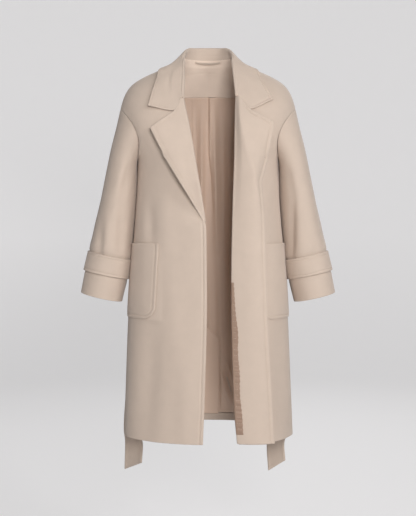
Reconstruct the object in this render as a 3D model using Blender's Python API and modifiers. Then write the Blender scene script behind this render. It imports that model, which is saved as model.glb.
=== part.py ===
"""A long belted coat with notched lapels, hollow and open in front, standing as if it were worn.

Metres, +Z up. The origin is the nape: the middle of the back neck seam. The front faces -Y, and the
wearer's right side is at -X. "Out" is the distance from the middle plane, on either side.
"""

import math
from collections import namedtuple

import bmesh
import bpy
import numpy as np

COLLECTION = "notched_lapel_coat"

# Cloth and seams
CLOTH = 0.0024
DOUBLED_CLOTH = 0.0044
LINING = 0.0010
NECK_FACING = 0.0016
TAPE = 0.0012
SEAM = 0.0003
PATCH_EASE = 0.0009
HEM_EASE = 0.0012
LINING_EASE = 0.0036
RIGHT = -1
LEFT = 1
SIDES = {"right": RIGHT, "left": LEFT}

# Colours, as linear red, green and blue, with the roughness of the cloth
FINISHES = {
    "coat_cloth": ((0.60, 0.48, 0.39), 0.92),
    "lining_cloth": ((0.36, 0.25, 0.20), 0.55),
}

# Level sections of the body below the armholes: front edge, front depth, half width, back depth
Skirt = namedtuple("Skirt", "height edge_right edge_left front half_width back")
SKIRT = (
    Skirt(-1.060, 0.0134, 0.0778, -0.165, 0.2400, 0.165),
    Skirt(-0.960, 0.0095, 0.0694, -0.159, 0.2375, 0.161),
    Skirt(-0.725, 0.0030, 0.0625, -0.150, 0.2290, 0.152),
    Skirt(-0.560, 0.0035, 0.0630, -0.142, 0.2165, 0.138),
    Skirt(-0.470, 0.0054, 0.0650, -0.137, 0.2085, 0.131),
    Skirt(-0.390, 0.0165, 0.0673, -0.134, 0.2030, 0.129),
)
SKIRT_PULL = 0.60
PANEL_STEPS_LOW = 10
PANEL_STEPS_HIGH = 8
PANEL_STEPS = PANEL_STEPS_LOW + PANEL_STEPS_HIGH
UNDERARM = PANEL_STEPS_LOW / PANEL_STEPS
EDGE_FADE = 6
PANEL_TRIM = 0.0012
SHOULDER_TRIM = 0.0012
SLEEVE_TRIM = 0.0012
FRONT_STEPS = 10
NECK_STEPS = 3
BACK_STEPS = FRONT_STEPS + NECK_STEPS

# Steps of the grid of each kind of piece, across and along it
ROUND_STEPS = 2 * PANEL_STEPS_HIGH
GRID = {
    "front": (FRONT_STEPS, PANEL_STEPS),
    "back": (BACK_STEPS, PANEL_STEPS),
    "sleeve": (ROUND_STEPS, 8),
    "cuff_strap": (ROUND_STEPS, 1),
    "lapel": (5, 14),
    "facing": (5, 26),
    "lining_strip": (2, 14),
    "pocket": (8, 9),
    "collar": (10, 22),
    "neck_facing": (2 * NECK_STEPS, 4),
    "lining": (14, 14),
    "hem": (14, 1),
    "underlap": (2, 6),
    "tape": (8, 1),
    "belt": (22, 1),
    "belt_end": (1, 14),
    "belt_loop": (1, 10),
}

# Slanted sections of the fronts above the armhole's lowest point: the edge at the roll line, the angle
# round the armhole where the section ends, and the corner that the section swells towards
Chest = namedtuple("Chest", "edge_right edge_left edge_y edge_z angle corner_out corner_y corner_z pull")
CHEST = (
    Chest(0.0318, 0.0706, -0.129, -0.300, 180, 0.201, -0.129, -0.297, 0.58),
    Chest(0.0383, 0.0715, -0.124, -0.262, 140, 0.192, -0.127, -0.268, 0.60),
    Chest(0.0497, 0.0729, -0.114, -0.200, 95, 0.165, -0.127, -0.212, 0.70),
    Chest(0.0655, 0.0754, -0.087, -0.123, 60, 0.180, -0.109, -0.150, 0.75),
    Chest(0.0745, 0.0780, -0.042, -0.038, 30, 0.215, -0.050, -0.086, 0.85),
)

# The same sections on the backs, from the middle of the back
UpperBack = namedtuple("UpperBack", "middle_y middle_z angle corner_out corner_y corner_z pull")
UPPER_BACK = (
    UpperBack(0.130, -0.300, 180, 0.201, 0.130, -0.297, 0.58),
    UpperBack(0.132, -0.245, 140, 0.192, 0.132, -0.260, 0.60),
    UpperBack(0.129, -0.180, 95, 0.165, 0.134, -0.200, 0.70),
    UpperBack(0.118, -0.110, 60, 0.180, 0.124, -0.130, 0.75),
    UpperBack(0.097, -0.045, 30, 0.215, 0.076, -0.078, 0.85),
)

# Shoulder seam from the neck point to the shoulder tip, and the back neck
NECK_POINT = (0.078, 0.005, -0.008)
SHOULDER_CORNER = (0.230, 0.008, -0.0715)
SHOULDER_PULL = 0.92
NAPE_Y = 0.070
NECK_PULL = 0.60
NECK_SHARE = NECK_STEPS / BACK_STEPS

# Rings of the sleeve, from the armhole to the cuff: outer and inner point, middle and half depth from
# front to back, and how far the front and back of the ring lean in towards the body
Ring = namedtuple("Ring", "outer_out outer_z inner_out inner_z middle_y half_depth lean")
SLEEVE = (
    Ring(0.2505, -0.142, 0.2010, -0.292, 0.010, 0.092, 0.028),
    Ring(0.2620, -0.195, 0.2050, -0.316, 0.011, 0.092, 0.012),
    Ring(0.2755, -0.255, 0.2085, -0.346, 0.012, 0.090, 0.004),
    Ring(0.2900, -0.330, 0.2125, -0.396, 0.012, 0.084, 0.000),
    Ring(0.3075, -0.410, 0.2170, -0.456, 0.010, 0.078, 0.000),
    Ring(0.3260, -0.485, 0.2225, -0.516, 0.007, 0.073, 0.000),
    Ring(0.3420, -0.549, 0.2285, -0.575, 0.004, 0.069, 0.000),
    Ring(0.3625, -0.662, 0.2465, -0.689, 0.000, 0.066, 0.000),
)
STRAP_START = 0.755
STRAP_END = 0.865
STRAP_CLOTH = 0.0026

# Turned-back edges, as seen from the front: height on the roll line, then the free edge beside it, down
# from the tip of the lapel
Turned = namedtuple("Turned", "roll_z edge_out edge_z")
LAPEL_RIGHT = (
    Turned(-0.1300, 0.1522, -0.2069),
    Turned(-0.2800, 0.0960, -0.3100),
    Turned(-0.4600, 0.0150, -0.4580),
)
FACING_LEFT = (
    Turned(-0.1260, 0.1767, -0.1904),
    Turned(-0.2450, 0.1582, -0.2700),
    Turned(-0.3450, 0.1385, -0.3580),
    Turned(-0.4450, 0.1510, -0.4480),
    Turned(-0.7180, 0.1571, -0.7184),
    Turned(-1.0575, 0.1760, -1.0550),
)
# Notch in the top edge of a lapel: its share of that edge, its drop and the share where it has faded
Notch = namedtuple("Notch", "share drop fade")
NOTCHES = {
    "right": Notch(0.32, 0.0071, 0.16),
    "left": Notch(0.42, 0.0051, 0.08),
}
ROLL_CLEARANCE = 0.0012
EDGE_CLEARANCE = 0.0048
LINING_STRIP_HEIGHT = 0.40
LINING_STRIP_WIDTH = 0.20
LINING_STRIP_TAPER = 0.35
LINING_STRIP_INSET = 0.02

# Patch pockets: inner edge at the top and the bottom, heights, and the share of the front it reaches to
POCKET_TOP = -0.522
POCKET_BOTTOM = -0.723
POCKET_INNER_TOP = 0.1335
POCKET_INNER_BOTTOM = 0.1500
POCKET_REACH = 0.965
POCKET_CORNER = 0.16
POCKET_CORNER_TURN = 0.95

# Sections of one half of the collar from the middle of the back to the shoulder: neck seam, fold, the
# middle of the fall and its free edge
Collar = namedtuple("Collar", "neck fold fall edge")
COLLAR_BACK = (
    Collar((0.000, 0.068, 0.0014), (0.000, 0.069, 0.0455), (0.000, 0.090, 0.012), (0.000, 0.103, -0.030)),
    Collar((0.036, 0.057, 0.0012), (0.036, 0.062, 0.0455), (0.048, 0.082, 0.011), (0.060, 0.096, -0.028)),
    Collar((0.060, 0.033, 0.0005), (0.062, 0.040, 0.0445), (0.087, 0.055, 0.010), (0.108, 0.067, -0.021)),
)
# Sections in front of it, whose fall lies on the front at a distance out and a height
CollarFront = namedtuple("CollarFront", "neck fold fall_out fall_z edge_out edge_z")
COLLAR_FRONT = {
    "right": (
        CollarFront((0.070, 0.0050, -0.0020), (0.069, 0.0090, 0.0340), 0.104, -0.020, 0.1385, -0.0345),
        CollarFront((0.069, -0.0300, -0.0180), (0.069, -0.0300, -0.0060), 0.106, -0.048, 0.1435, -0.0660),
        CollarFront((0.069, -0.0620, -0.0620), (0.069, -0.0640, -0.0540), 0.112, -0.082, 0.1520, -0.0960),
        CollarFront((0.069, -0.0930, -0.1220), (0.070, -0.0960, -0.1150), 0.089, -0.1490, 0.1630, -0.1425),
    ),
    "left": (
        CollarFront((0.070, 0.0050, -0.0020), (0.069, 0.0090, 0.0340), 0.105, -0.020, 0.1405, -0.0355),
        CollarFront((0.070, -0.0300, -0.0180), (0.070, -0.0300, -0.0060), 0.108, -0.047, 0.1480, -0.0620),
        CollarFront((0.073, -0.0620, -0.0620), (0.074, -0.0640, -0.0540), 0.120, -0.078, 0.1590, -0.0870),
        CollarFront((0.077, -0.0930, -0.1180), (0.079, -0.0960, -0.1110), 0.112, -0.1455, 0.1770, -0.1225),
    ),
}
COLLAR_LIFT = 0.0085
FOLD_RADIUS = 0.0045

# Inside of the back
FACING_TOP = -0.009
FACING_BOTTOM = -0.0933
FACING_REACH = 0.96 * NECK_SHARE
FACING_END_EASE = 0.010
FACING_SEAM = 0.0009
LINING_BOTTOM = -1.036
LINING_REACH = 7 / BACK_STEPS
PLEAT_DEPTH = 0.004
PLEAT_HALF_WIDTH = 0.06
PLEAT_END = 0.30
PLEAT_FULL = 0.80
HEM_TOP = -1.0375
HEM_BOTTOM = -1.0580
VENT_TOP = -0.783
VENT_SHOULDER = -0.8125
VENT_WIDTH = 0.032
LOOP_HALF_LENGTH = 0.034
LOOP_WIDTH = 0.006
LOOP_TOP = -0.0020
LOOP_SAG = 0.004

# Belt
BELT_CLOTH = 0.0030
BELT_TOP = -0.415
BELT_BOTTOM = -0.465
BELT_REACH = 11 / BACK_STEPS
CARRIER_PLACE = 0.80
CARRIER_WIDTH = 0.05
CARRIER_EASE = 0.0025
CARRIER_TOP = -0.402
CARRIER_BOTTOM = -0.478
CARRIER_CLOTH = 0.0016
CARRIER_RISE = 0.15

# Belt ends: share of the back at the inner and the outer edge of the belt, down to the hem
BeltEnd = namedtuple("BeltEnd", "height inner outer")
BELT_END_ON_BACK = (
    BeltEnd(-0.480, 0.640, 0.840),
    BeltEnd(-0.600, 0.680, 0.870),
    BeltEnd(-0.750, 0.715, 0.895),
    BeltEnd(-0.900, 0.730, 0.900),
    BeltEnd(-1.058, 0.735, 0.900),
)
BELT_END_SHIFT = {"right": 0.0, "left": -0.055}
BELT_END_LIFT = 0.0085
# Free part below the hem: inner and outer edge of the belt
BeltTip = namedtuple("BeltTip", "inner_out inner_y inner_z outer_out outer_y outer_z")
BELT_TIP = {
    "right": (
        BeltTip(0.1960, 0.121, -1.110, 0.2400, 0.083, -1.110),
        BeltTip(0.1936, 0.118, -1.1675, 0.2430, 0.098, -1.1996),
    ),
    "left": (
        BeltTip(0.1800, 0.132, -1.110, 0.2255, 0.096, -1.110),
        BeltTip(0.1785, 0.126, -1.1999, 0.2276, 0.108, -1.1645),
    ),
}

# Fineness of the curves: probe points, step for slopes, halvings, tries and start grid of a search
PROBES = 9
SLOPE_STEP = 1e-4
HALVINGS = 40
TRIES = 12
TRY_STEP = 1e-5
SEARCH_GRID = (25, 60)
SEARCH_REACH = 0.96
WELD = 1e-5


# Curves and surfaces. A curve takes an array of shares and gives a row of points.
def straight(start, end):
    """The straight line between two points."""
    start, end = np.array(start), np.array(end)
    return lambda t: start + np.asarray(t)[:, None] * (end - start)


def cornered(start, corner, end, pull):
    """A line of cloth between two points that swells towards a corner."""
    start, corner, end = np.array(start), np.array(corner), np.array(end)
    near = start + pull * (corner - start)
    far = end + pull * (corner - end)

    def curve(t):
        t = np.asarray(t)[:, None]
        s = 1 - t
        return s**3 * start + 3 * s**2 * t * near + 3 * s * t**2 * far + t**3 * end

    return curve


def hermite(points, places, first, last, at):
    """Smooth values at the given places, through points that each hold a row of the same length."""
    padded = np.concatenate([first[0][None], points, last[0][None]])
    marks = np.concatenate([[first[1]], places, [last[1]]])
    slopes = (padded[2:] - padded[:-2]) / (marks[2:] - marks[:-2])[:, None, None]
    k = np.clip(np.searchsorted(places, at, side="right") - 1, 0, len(places) - 2)
    row = np.arange(len(at))
    span = (places[k + 1] - places[k])[:, None]
    t = (at[:, None] - places[k][:, None]) / span
    return (
        (1 + 2 * t) * (1 - t) ** 2 * points[k, row]
        + t * (1 - t) ** 2 * span * slopes[k, row]
        + t**2 * (3 - 2 * t) * points[k + 1, row]
        + t**2 * (t - 1) * span * slopes[k + 1, row]
    )


def loft(rows, places=None, after=None):
    """A smooth surface through rows, at given shares of its length or by the distance between them."""
    if places is None:
        probe = np.linspace(0, 1, PROBES)
        listed = [row(probe) for row in rows]
        steps = [np.linalg.norm(b - a, axis=1).mean() for a, b in zip(listed, listed[1:])]
        places = np.cumsum([0.0] + steps) / sum(steps)

    def surface(u, v):
        u, v = np.atleast_1d(u).astype(float), np.atleast_1d(v).astype(float)
        points = np.array([row(u) for row in rows])
        first = (2 * points[0] - points[1], 2 * places[0] - places[1])
        beyond = after(u) if after else 2 * points[-1] - points[-2]
        last = (beyond, 2 * places[-1] - places[-2])
        return hermite(points, places, first, last, v)

    return surface


def spline(points):
    """A smooth line through a few points."""
    points = np.array(points)
    marks = np.concatenate([[0], np.cumsum(np.linalg.norm(np.diff(points, axis=0), axis=1))])
    places = marks / marks[-1]

    def curve(t):
        t = np.asarray(t, float)
        rows = np.repeat(points[:, None, :], len(t), axis=1)
        first = (2 * rows[0] - rows[1], -places[1])
        last = (2 * rows[-1] - rows[-2], 2 - places[-2])
        return hermite(rows, places, first, last, t)

    return curve


def moved_out(surface, u, v, lift):
    """Points of a surface, moved along its normal; the surface knows which way is out."""
    step = SLOPE_STEP
    across = surface(np.clip(u + step, 0, 1), v) - surface(np.clip(u - step, 0, 1), v)
    along = surface(u, np.clip(v + step, 0, 1)) - surface(u, np.clip(v - step, 0, 1))
    normal = np.cross(across, along) * surface.outward
    normal /= np.linalg.norm(normal, axis=1)[:, None]
    return surface(u, v) + normal * np.broadcast_to(lift, len(normal))[:, None]


def share_at_height(surface, u, height):
    """How far up the surface its points reach a height, for each u."""
    low, high = np.zeros(len(u)), np.ones(len(u))
    for _ in range(HALVINGS):
        middle = (low + high) / 2
        below = surface(u, middle)[:, 2] < height
        low, high = np.where(below, middle, low), np.where(below, high, middle)
    return (low + high) / 2


def shares_at(surface, x, z):
    """The shares (u, v) of the surface points that are seen from the front at x and z."""
    across, along = SEARCH_GRID
    grid_u, grid_v = np.meshgrid(np.linspace(0, SEARCH_REACH, across), np.linspace(0, 1, along))
    u, v = grid_u.ravel(), grid_v.ravel()
    known = surface(u, v)
    nearest = [np.argmin((known[:, 0] - a) ** 2 + (known[:, 2] - b) ** 2) for a, b in zip(x, z)]
    u, v = u[nearest], v[nearest]
    step = TRY_STEP
    for _ in range(TRIES):
        here = surface(u, v)
        by_u = (surface(u + step, v) - here) / step
        by_v = (surface(u, v + step) - here) / step
        miss_x, miss_z = x - here[:, 0], z - here[:, 2]
        whole = by_u[:, 0] * by_v[:, 2] - by_v[:, 0] * by_u[:, 2]
        u = np.clip(u + (miss_x * by_v[:, 2] - by_v[:, 0] * miss_z) / whole, 0, 1)
        v = np.clip(v + (by_u[:, 0] * miss_z - miss_x * by_u[:, 2]) / whole, 0, 1)
    return u, v


# The coat's form
def mirrored(row, side):
    """A row of points given by their distance out, placed on one side."""
    return lambda t: row(t) * np.array([side, 1, 1])


def ring_point(ring, angle):
    """Points round a sleeve ring: 0 on its outer side, 90 degrees in front, 180 on its inner side."""
    outer = np.array([ring.outer_out, ring.outer_z])
    inner = np.array([ring.inner_out, ring.inner_z])
    plane = (outer + inner) / 2 + np.cos(angle)[:, None] * (outer - inner) / 2
    out = plane[:, 0] - ring.lean * np.sin(angle) ** 2
    depth = ring.middle_y - ring.half_depth * np.sin(angle)
    return np.stack([out, depth, plane[:, 1]], axis=1)


def armhole(degrees):
    return ring_point(SLEEVE[0], np.array([math.radians(degrees)]))[0]


def shoulder_seam():
    return cornered(NECK_POINT, SHOULDER_CORNER, armhole(0), SHOULDER_PULL)


def front_rows(name):
    rows = []
    for s in SKIRT:
        edge = getattr(s, "edge_" + name)
        side_seam = (s.half_width, 0, s.height)
        corner = (s.half_width, s.front, s.height)
        rows.append(cornered((edge, s.front, s.height), corner, side_seam, SKIRT_PULL))
    for c in CHEST:
        edge = (getattr(c, "edge_" + name), c.edge_y, c.edge_z)
        corner = (c.corner_out, c.corner_y, c.corner_z)
        rows.append(cornered(edge, corner, armhole(c.angle), c.pull))
    return rows


def back_rows():
    rows = []
    for s in SKIRT:
        side_seam = (s.half_width, 0, s.height)
        corner = (s.half_width, s.back, s.height)
        rows.append(cornered((0, s.back, s.height), corner, side_seam, SKIRT_PULL))
    for b in UPPER_BACK:
        corner = (b.corner_out, b.corner_y, b.corner_z)
        rows.append(cornered((0, b.middle_y, b.middle_z), corner, armhole(-b.angle), b.pull))
    return rows


def back_top(t):
    """The back neck from the nape to the neck point, then the shoulder seam."""
    t = np.asarray(t, float)
    corner = (NECK_POINT[0], NAPE_Y, 0)
    neck = cornered((0, NAPE_Y, 0), corner, NECK_POINT, NECK_PULL)(np.clip(t / NECK_SHARE, 0, 1))
    shoulder = shoulder_seam()(np.clip((t - NECK_SHARE) / (1 - NECK_SHARE), 0, 1))
    return np.where((t < NECK_SHARE)[:, None], neck, shoulder)


def body_places():
    """The share of a panel's height at which each row lies; the armhole takes the upper part by angle."""
    low, high = SKIRT[0].height, CHEST[0].edge_z
    skirt = [UNDERARM * (row.height - low) / (high - low) for row in SKIRT]
    chest = [UNDERARM + (1 - UNDERARM) * (1 - row.angle / 180) for row in CHEST]
    return np.array(skirt + chest + [1.0])


def outer_edge(v, side, way):
    """The side seam, then half of the armhole: the front half for way 1, the back half for way -1."""
    seam = spline([(row.half_width, 0, row.height) for row in SKIRT] + [tuple(armhole(180))])
    below = seam(np.clip(v / UNDERARM, 0, 1))
    turn = math.pi * np.clip((1 - v) / (1 - UNDERARM), 0, 1)
    above = ring_point(SLEEVE[0], way * turn)
    return np.where((v < UNDERARM)[:, None], below, above) * np.array([side, 1, 1])


def fitted_to_edge(rows, after, side, way):
    """A body panel through its rows whose outer edge lies on the side seam and the armhole."""
    loose = loft(rows, body_places(), after)

    def surface(u, v):
        u, v = np.atleast_1d(u).astype(float), np.atleast_1d(v).astype(float)
        miss = outer_edge(v, side, way) - loose(np.ones(len(v)), v)
        return loose(u, v) + u[:, None] ** EDGE_FADE * miss

    surface.outward = side * way
    return surface


def front(name):
    """A front from its edge or roll line (u = 0) to the side seam, and from the hem up to the shoulder."""
    side = SIDES[name]
    rows = front_rows(name) + [shoulder_seam()]
    past_seam = back_rows()[-1]
    after = mirrored(lambda t: past_seam(NECK_SHARE + (1 - NECK_SHARE) * np.asarray(t)), side)
    return fitted_to_edge([mirrored(row, side) for row in rows], after, side, 1)


def back(name):
    """A back from the middle (u = 0) to the side seam, and from the hem up to the neck and shoulder."""
    side = SIDES[name]
    rows = back_rows()
    past_seam = front_rows("right")[-1]

    def after(t):
        t = np.asarray(t, float)
        beyond_neck = 2 * back_top(t) - rows[-1](t)
        beyond_seam = past_seam(np.clip((t - NECK_SHARE) / (1 - NECK_SHARE), 0, 1))
        return np.where((t < NECK_SHARE)[:, None], beyond_neck, beyond_seam)

    rows = [mirrored(row, side) for row in rows + [back_top]]
    return fitted_to_edge(rows, mirrored(after, side), side, -1)


def sleeve(name):
    """A sleeve, once round its rings (u) and from the armhole to the cuff (v)."""
    side = SIDES[name]
    rows = []
    for ring in SLEEVE:
        around = lambda t, ring=ring: ring_point(ring, np.asarray(t) * math.tau)
        rows.append(mirrored(around, side))
    surface = loft(rows)
    surface.outward = side
    return surface


def whole_back(s, v, lift):
    """Points of both backs: s runs from -1 at the right side seam to 1 at the left one."""
    points = np.empty((len(s), 3))
    for name, side in SIDES.items():
        here = (np.sign(s) == side) | ((s == 0) & (side == RIGHT))
        points[here] = moved_out(BACKS[name], np.abs(s[here]), v[here], np.broadcast_to(lift, s.shape)[here])
    return points


def back_between(low, high, reach, lift, end_lift=0.0):
    """A patch of both backs between two heights, with a further lift that grows towards its two ends."""

    def points(u, v):
        s = (2 * u - 1) * reach
        bottom = share_at_height(BACKS["left"], np.abs(s), low)
        top = share_at_height(BACKS["left"], np.abs(s), high)
        return whole_back(s, bottom + v * (top - bottom), lift + end_lift * (2 * u - 1) ** 2)

    return points


# Building of objects
def material(name, finish):
    colour, roughness = FINISHES[finish]
    made = bpy.data.materials.new(f"{name}_{finish}")
    made.use_nodes = True
    shader = made.node_tree.nodes["Principled BSDF"]
    shader.inputs["Base Color"].default_value = (*colour, 1)
    shader.inputs["Roughness"].default_value = roughness
    shader.inputs["Metallic"].default_value = 0
    made.diffuse_color = (*colour, 1)
    return made


def cloth(name, points, grid, thickness, facing, finish="coat_cloth", tube=False):
    """A wall of cloth: a grid laid on the outer points, which faces the given way and is thick inwards."""
    mesh = bmesh.new()
    bmesh.ops.create_grid(mesh, x_segments=grid[0], y_segments=grid[1], size=0.5)
    flat = np.array([v.co[:] for v in mesh.verts])
    placed = points(flat[:, 0] + 0.5, flat[:, 1] + 0.5)
    for vertex, place in zip(mesh.verts, placed):
        vertex.co = place
    if tube:
        bmesh.ops.remove_doubles(mesh, verts=mesh.verts[:], dist=WELD)
    mesh.normal_update()
    middle = np.mean([v.co[:] for v in mesh.verts], axis=0)
    lean = 0.0
    for face in mesh.faces:
        way = np.array(face.calc_center_median()) - middle if tube else np.array(facing)
        lean += face.calc_area() * np.dot(face.normal[:], way)
    if lean < 0:
        bmesh.ops.reverse_faces(mesh, faces=mesh.faces[:])
    data = bpy.data.meshes.new(name)
    mesh.to_mesh(data)
    mesh.free()
    data.shade_smooth()
    data.materials.append(material(name, finish))
    made = bpy.data.objects.new(name, data)
    bpy.data.collections[COLLECTION].objects.link(made)
    wall = made.modifiers.new("wall", "SOLIDIFY")
    wall.thickness = thickness
    wall.offset = -1
    wall.use_even_offset = True
    return made


def within(surface, start_u, end_u, start_v, end_v, lift=0.0):
    """Part of a surface, moved out by a lift."""

    def points(u, v):
        u = start_u + u * (end_u - start_u)
        v = start_v + v * (end_v - start_v)
        return moved_out(surface, u, v, lift)

    return points


def make_body():
    for name in SIDES:
        panel = within(FRONTS[name], 0, 1 - PANEL_TRIM, 0, 1 - SHOULDER_TRIM)
        cloth(f"front_{name}", panel, GRID["front"], CLOTH, (0, -1, 0))
        panel = within(BACKS[name], PANEL_TRIM, 1 - PANEL_TRIM, 0, 1 - SHOULDER_TRIM)
        cloth(f"back_{name}", panel, GRID["back"], CLOTH, (0, 1, 0))


def make_sleeves():
    for name in SIDES:
        tube = within(SLEEVES[name], 0, 1, SLEEVE_TRIM, 1)
        cloth(f"sleeve_{name}", tube, GRID["sleeve"], CLOTH, None, tube=True)
        strap = within(SLEEVES[name], 0, 1, STRAP_START, STRAP_END, PATCH_EASE + STRAP_CLOTH)
        cloth(f"cuff_strap_{name}", strap, GRID["cuff_strap"], STRAP_CLOTH, None, tube=True)


def turned_back(name, rows):
    """The doubled edge of a front, folded out along the roll line so that it lies on that front."""
    side = SIDES[name]
    lengths = [0.0]
    for a, b in zip(rows, rows[1:]):
        lengths.append(lengths[-1] + math.hypot(b.edge_out - a.edge_out, b.edge_z - a.edge_z))
    marks = np.array(lengths) / lengths[-1]
    panel = FRONTS[name]
    notch = NOTCHES[name]

    def points(u, v, lift=0.0):
        down = 1 - v
        roll_z = np.interp(down, marks, [row.roll_z for row in rows])
        edge_out = np.interp(down, marks, [row.edge_out for row in rows])
        edge_z = np.interp(down, marks, [row.edge_z for row in rows])
        roll = panel(np.zeros(len(u)), share_at_height(panel, np.zeros(len(u)), roll_z))
        x = roll[:, 0] + u * (side * edge_out - roll[:, 0])
        dip = np.minimum(u / notch.share, (1 - u) / (1 - notch.share)) * np.clip(1 - down / notch.fade, 0, 1)
        z = roll[:, 2] + u * (edge_z - roll[:, 2]) - notch.drop * dip
        panel_u, panel_v = shares_at(panel, x, z)
        clearance = ROLL_CLEARANCE + (EDGE_CLEARANCE - ROLL_CLEARANCE) * np.sin(u * math.pi / 2)
        return moved_out(panel, panel_u, panel_v, clearance + DOUBLED_CLOTH + lift)

    return points


def make_turned_edges():
    lapel = turned_back("right", LAPEL_RIGHT)
    cloth("lapel_right", lapel, GRID["lapel"], DOUBLED_CLOTH, (0, -1, 0))
    facing = turned_back("left", FACING_LEFT)
    cloth("facing_left", facing, GRID["facing"], DOUBLED_CLOTH, (0, -1, 0))

    def strip(u, v):
        across = LINING_STRIP_INSET + u * LINING_STRIP_WIDTH * (1 - LINING_STRIP_TAPER * v)
        along = LINING_STRIP_INSET + v * LINING_STRIP_HEIGHT
        return facing(across, along, SEAM + LINING)

    cloth("lining_strip_left", strip, GRID["lining_strip"], LINING, (0, -1, 0), "lining_cloth")


def make_pockets():
    for name, side in SIDES.items():
        panel = FRONTS[name]

        def points(u, v, panel=panel, side=side):
            height = POCKET_BOTTOM + v * (POCKET_TOP - POCKET_BOTTOM)
            inner_out = POCKET_INNER_BOTTOM + v * (POCKET_INNER_TOP - POCKET_INNER_BOTTOM)
            inner_u, _ = shares_at(panel, side * inner_out, height)
            low = np.clip((POCKET_CORNER - v) / POCKET_CORNER, 0, 1)
            corner = POCKET_CORNER * (1 - np.sqrt(1 - (POCKET_CORNER_TURN * low) ** 2))
            inset = corner * (POCKET_REACH - inner_u)
            start, end = inner_u + inset, POCKET_REACH - inset
            panel_u = start + u * (end - start)
            panel_v = share_at_height(panel, panel_u, height)
            return moved_out(panel, panel_u, panel_v, PATCH_EASE + CLOTH)

        cloth(f"pocket_{name}", points, GRID["pocket"], CLOTH, (side, -1, 0))


def on_front(name, out, height, lift):
    """The point over a front that is seen from the front at a distance out and a height."""
    panel = FRONTS[name]
    u, v = shares_at(panel, np.array([SIDES[name] * out]), np.array([height]))
    return moved_out(panel, u, v, lift)[0]


def collar_row(neck, fold, fall, edge):
    """One section of the collar: up the stand, round the fold and down the fall."""
    way = (edge - fold) * (1, 1, 0)
    way /= np.linalg.norm(way)
    down = np.array([0, 0, -FOLD_RADIUS])
    stand_top = fold - way * FOLD_RADIUS + down
    fall_top = fold + way * FOLD_RADIUS + down
    return spline([neck, stand_top, fold, fall_top, fall, edge])


def collar_half(name):
    """The sections of half of the collar, from the middle of the back to its front end."""
    mirror = np.array([SIDES[name], 1, 1])
    rows = [collar_row(*(np.array(point) * mirror for point in section)) for section in COLLAR_BACK]
    for section in COLLAR_FRONT[name]:
        fall = on_front(name, section.fall_out, section.fall_z, COLLAR_LIFT)
        edge = on_front(name, section.edge_out, section.edge_z, COLLAR_LIFT)
        rows.append(collar_row(np.array(section.neck) * mirror, np.array(section.fold) * mirror, fall, edge))
    return rows


def make_collar():
    surface = loft(collar_half("right")[:0:-1] + collar_half("left"))
    cloth("collar", surface, GRID["collar"], DOUBLED_CLOTH, (0, 0, 1))


def make_inside():
    under_cloth = -(CLOTH + LINING_EASE)
    facing_lift = under_cloth - NECK_FACING
    facing = back_between(FACING_BOTTOM, FACING_TOP, FACING_REACH, facing_lift, -FACING_END_EASE)
    cloth("back_neck_facing", facing, GRID["neck_facing"], NECK_FACING, (0, -1, 0))
    lining_lift = under_cloth - LINING
    lining_top = FACING_BOTTOM - FACING_SEAM
    flat_lining = back_between(LINING_BOTTOM, lining_top, LINING_REACH, lining_lift, -LINING_EASE)

    def lining(u, v):
        points = flat_lining(u, v)
        pleat = np.clip(1 - np.abs(u - 0.5) / PLEAT_HALF_WIDTH, 0, 1)
        fade = np.clip((v - PLEAT_END) / (PLEAT_FULL - PLEAT_END), 0, 1)
        points[:, 1] -= PLEAT_DEPTH * pleat * fade
        return points

    cloth("back_lining", lining, GRID["lining"], LINING, (0, -1, 0), "lining_cloth")
    hem = back_between(HEM_BOTTOM, HEM_TOP, LINING_REACH, -(CLOTH + HEM_EASE + CLOTH))
    cloth("back_hem", hem, GRID["hem"], CLOTH, (0, -1, 0))

    def underlap(u, v):
        top = VENT_TOP + u * (VENT_SHOULDER - VENT_TOP)
        height = HEM_TOP + SEAM + v * (top - HEM_TOP)
        share, level = shares_at(BACKS["left"], u * VENT_WIDTH, height)
        return moved_out(BACKS["left"], share, level, lining_lift - LINING_EASE - CLOTH)

    cloth("vent_underlap", underlap, GRID["underlap"], CLOTH, (0, -1, 0), "lining_cloth")

    def tape(u, v):
        x = (2 * u - 1) * LOOP_HALF_LENGTH
        sag = LOOP_SAG * np.sin(math.pi * u)
        height = LOOP_TOP - sag - LOOP_WIDTH * (1 - v)
        share, level = shares_at(BACKS["left"], np.abs(x), height)
        points = moved_out(BACKS["left"], share, level, facing_lift - LINING_EASE - TAPE - sag)
        return np.stack([x, points[:, 1], height], axis=1)

    cloth("hanger_loop", tape, GRID["tape"], TAPE, (0, -1, 0))


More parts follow.
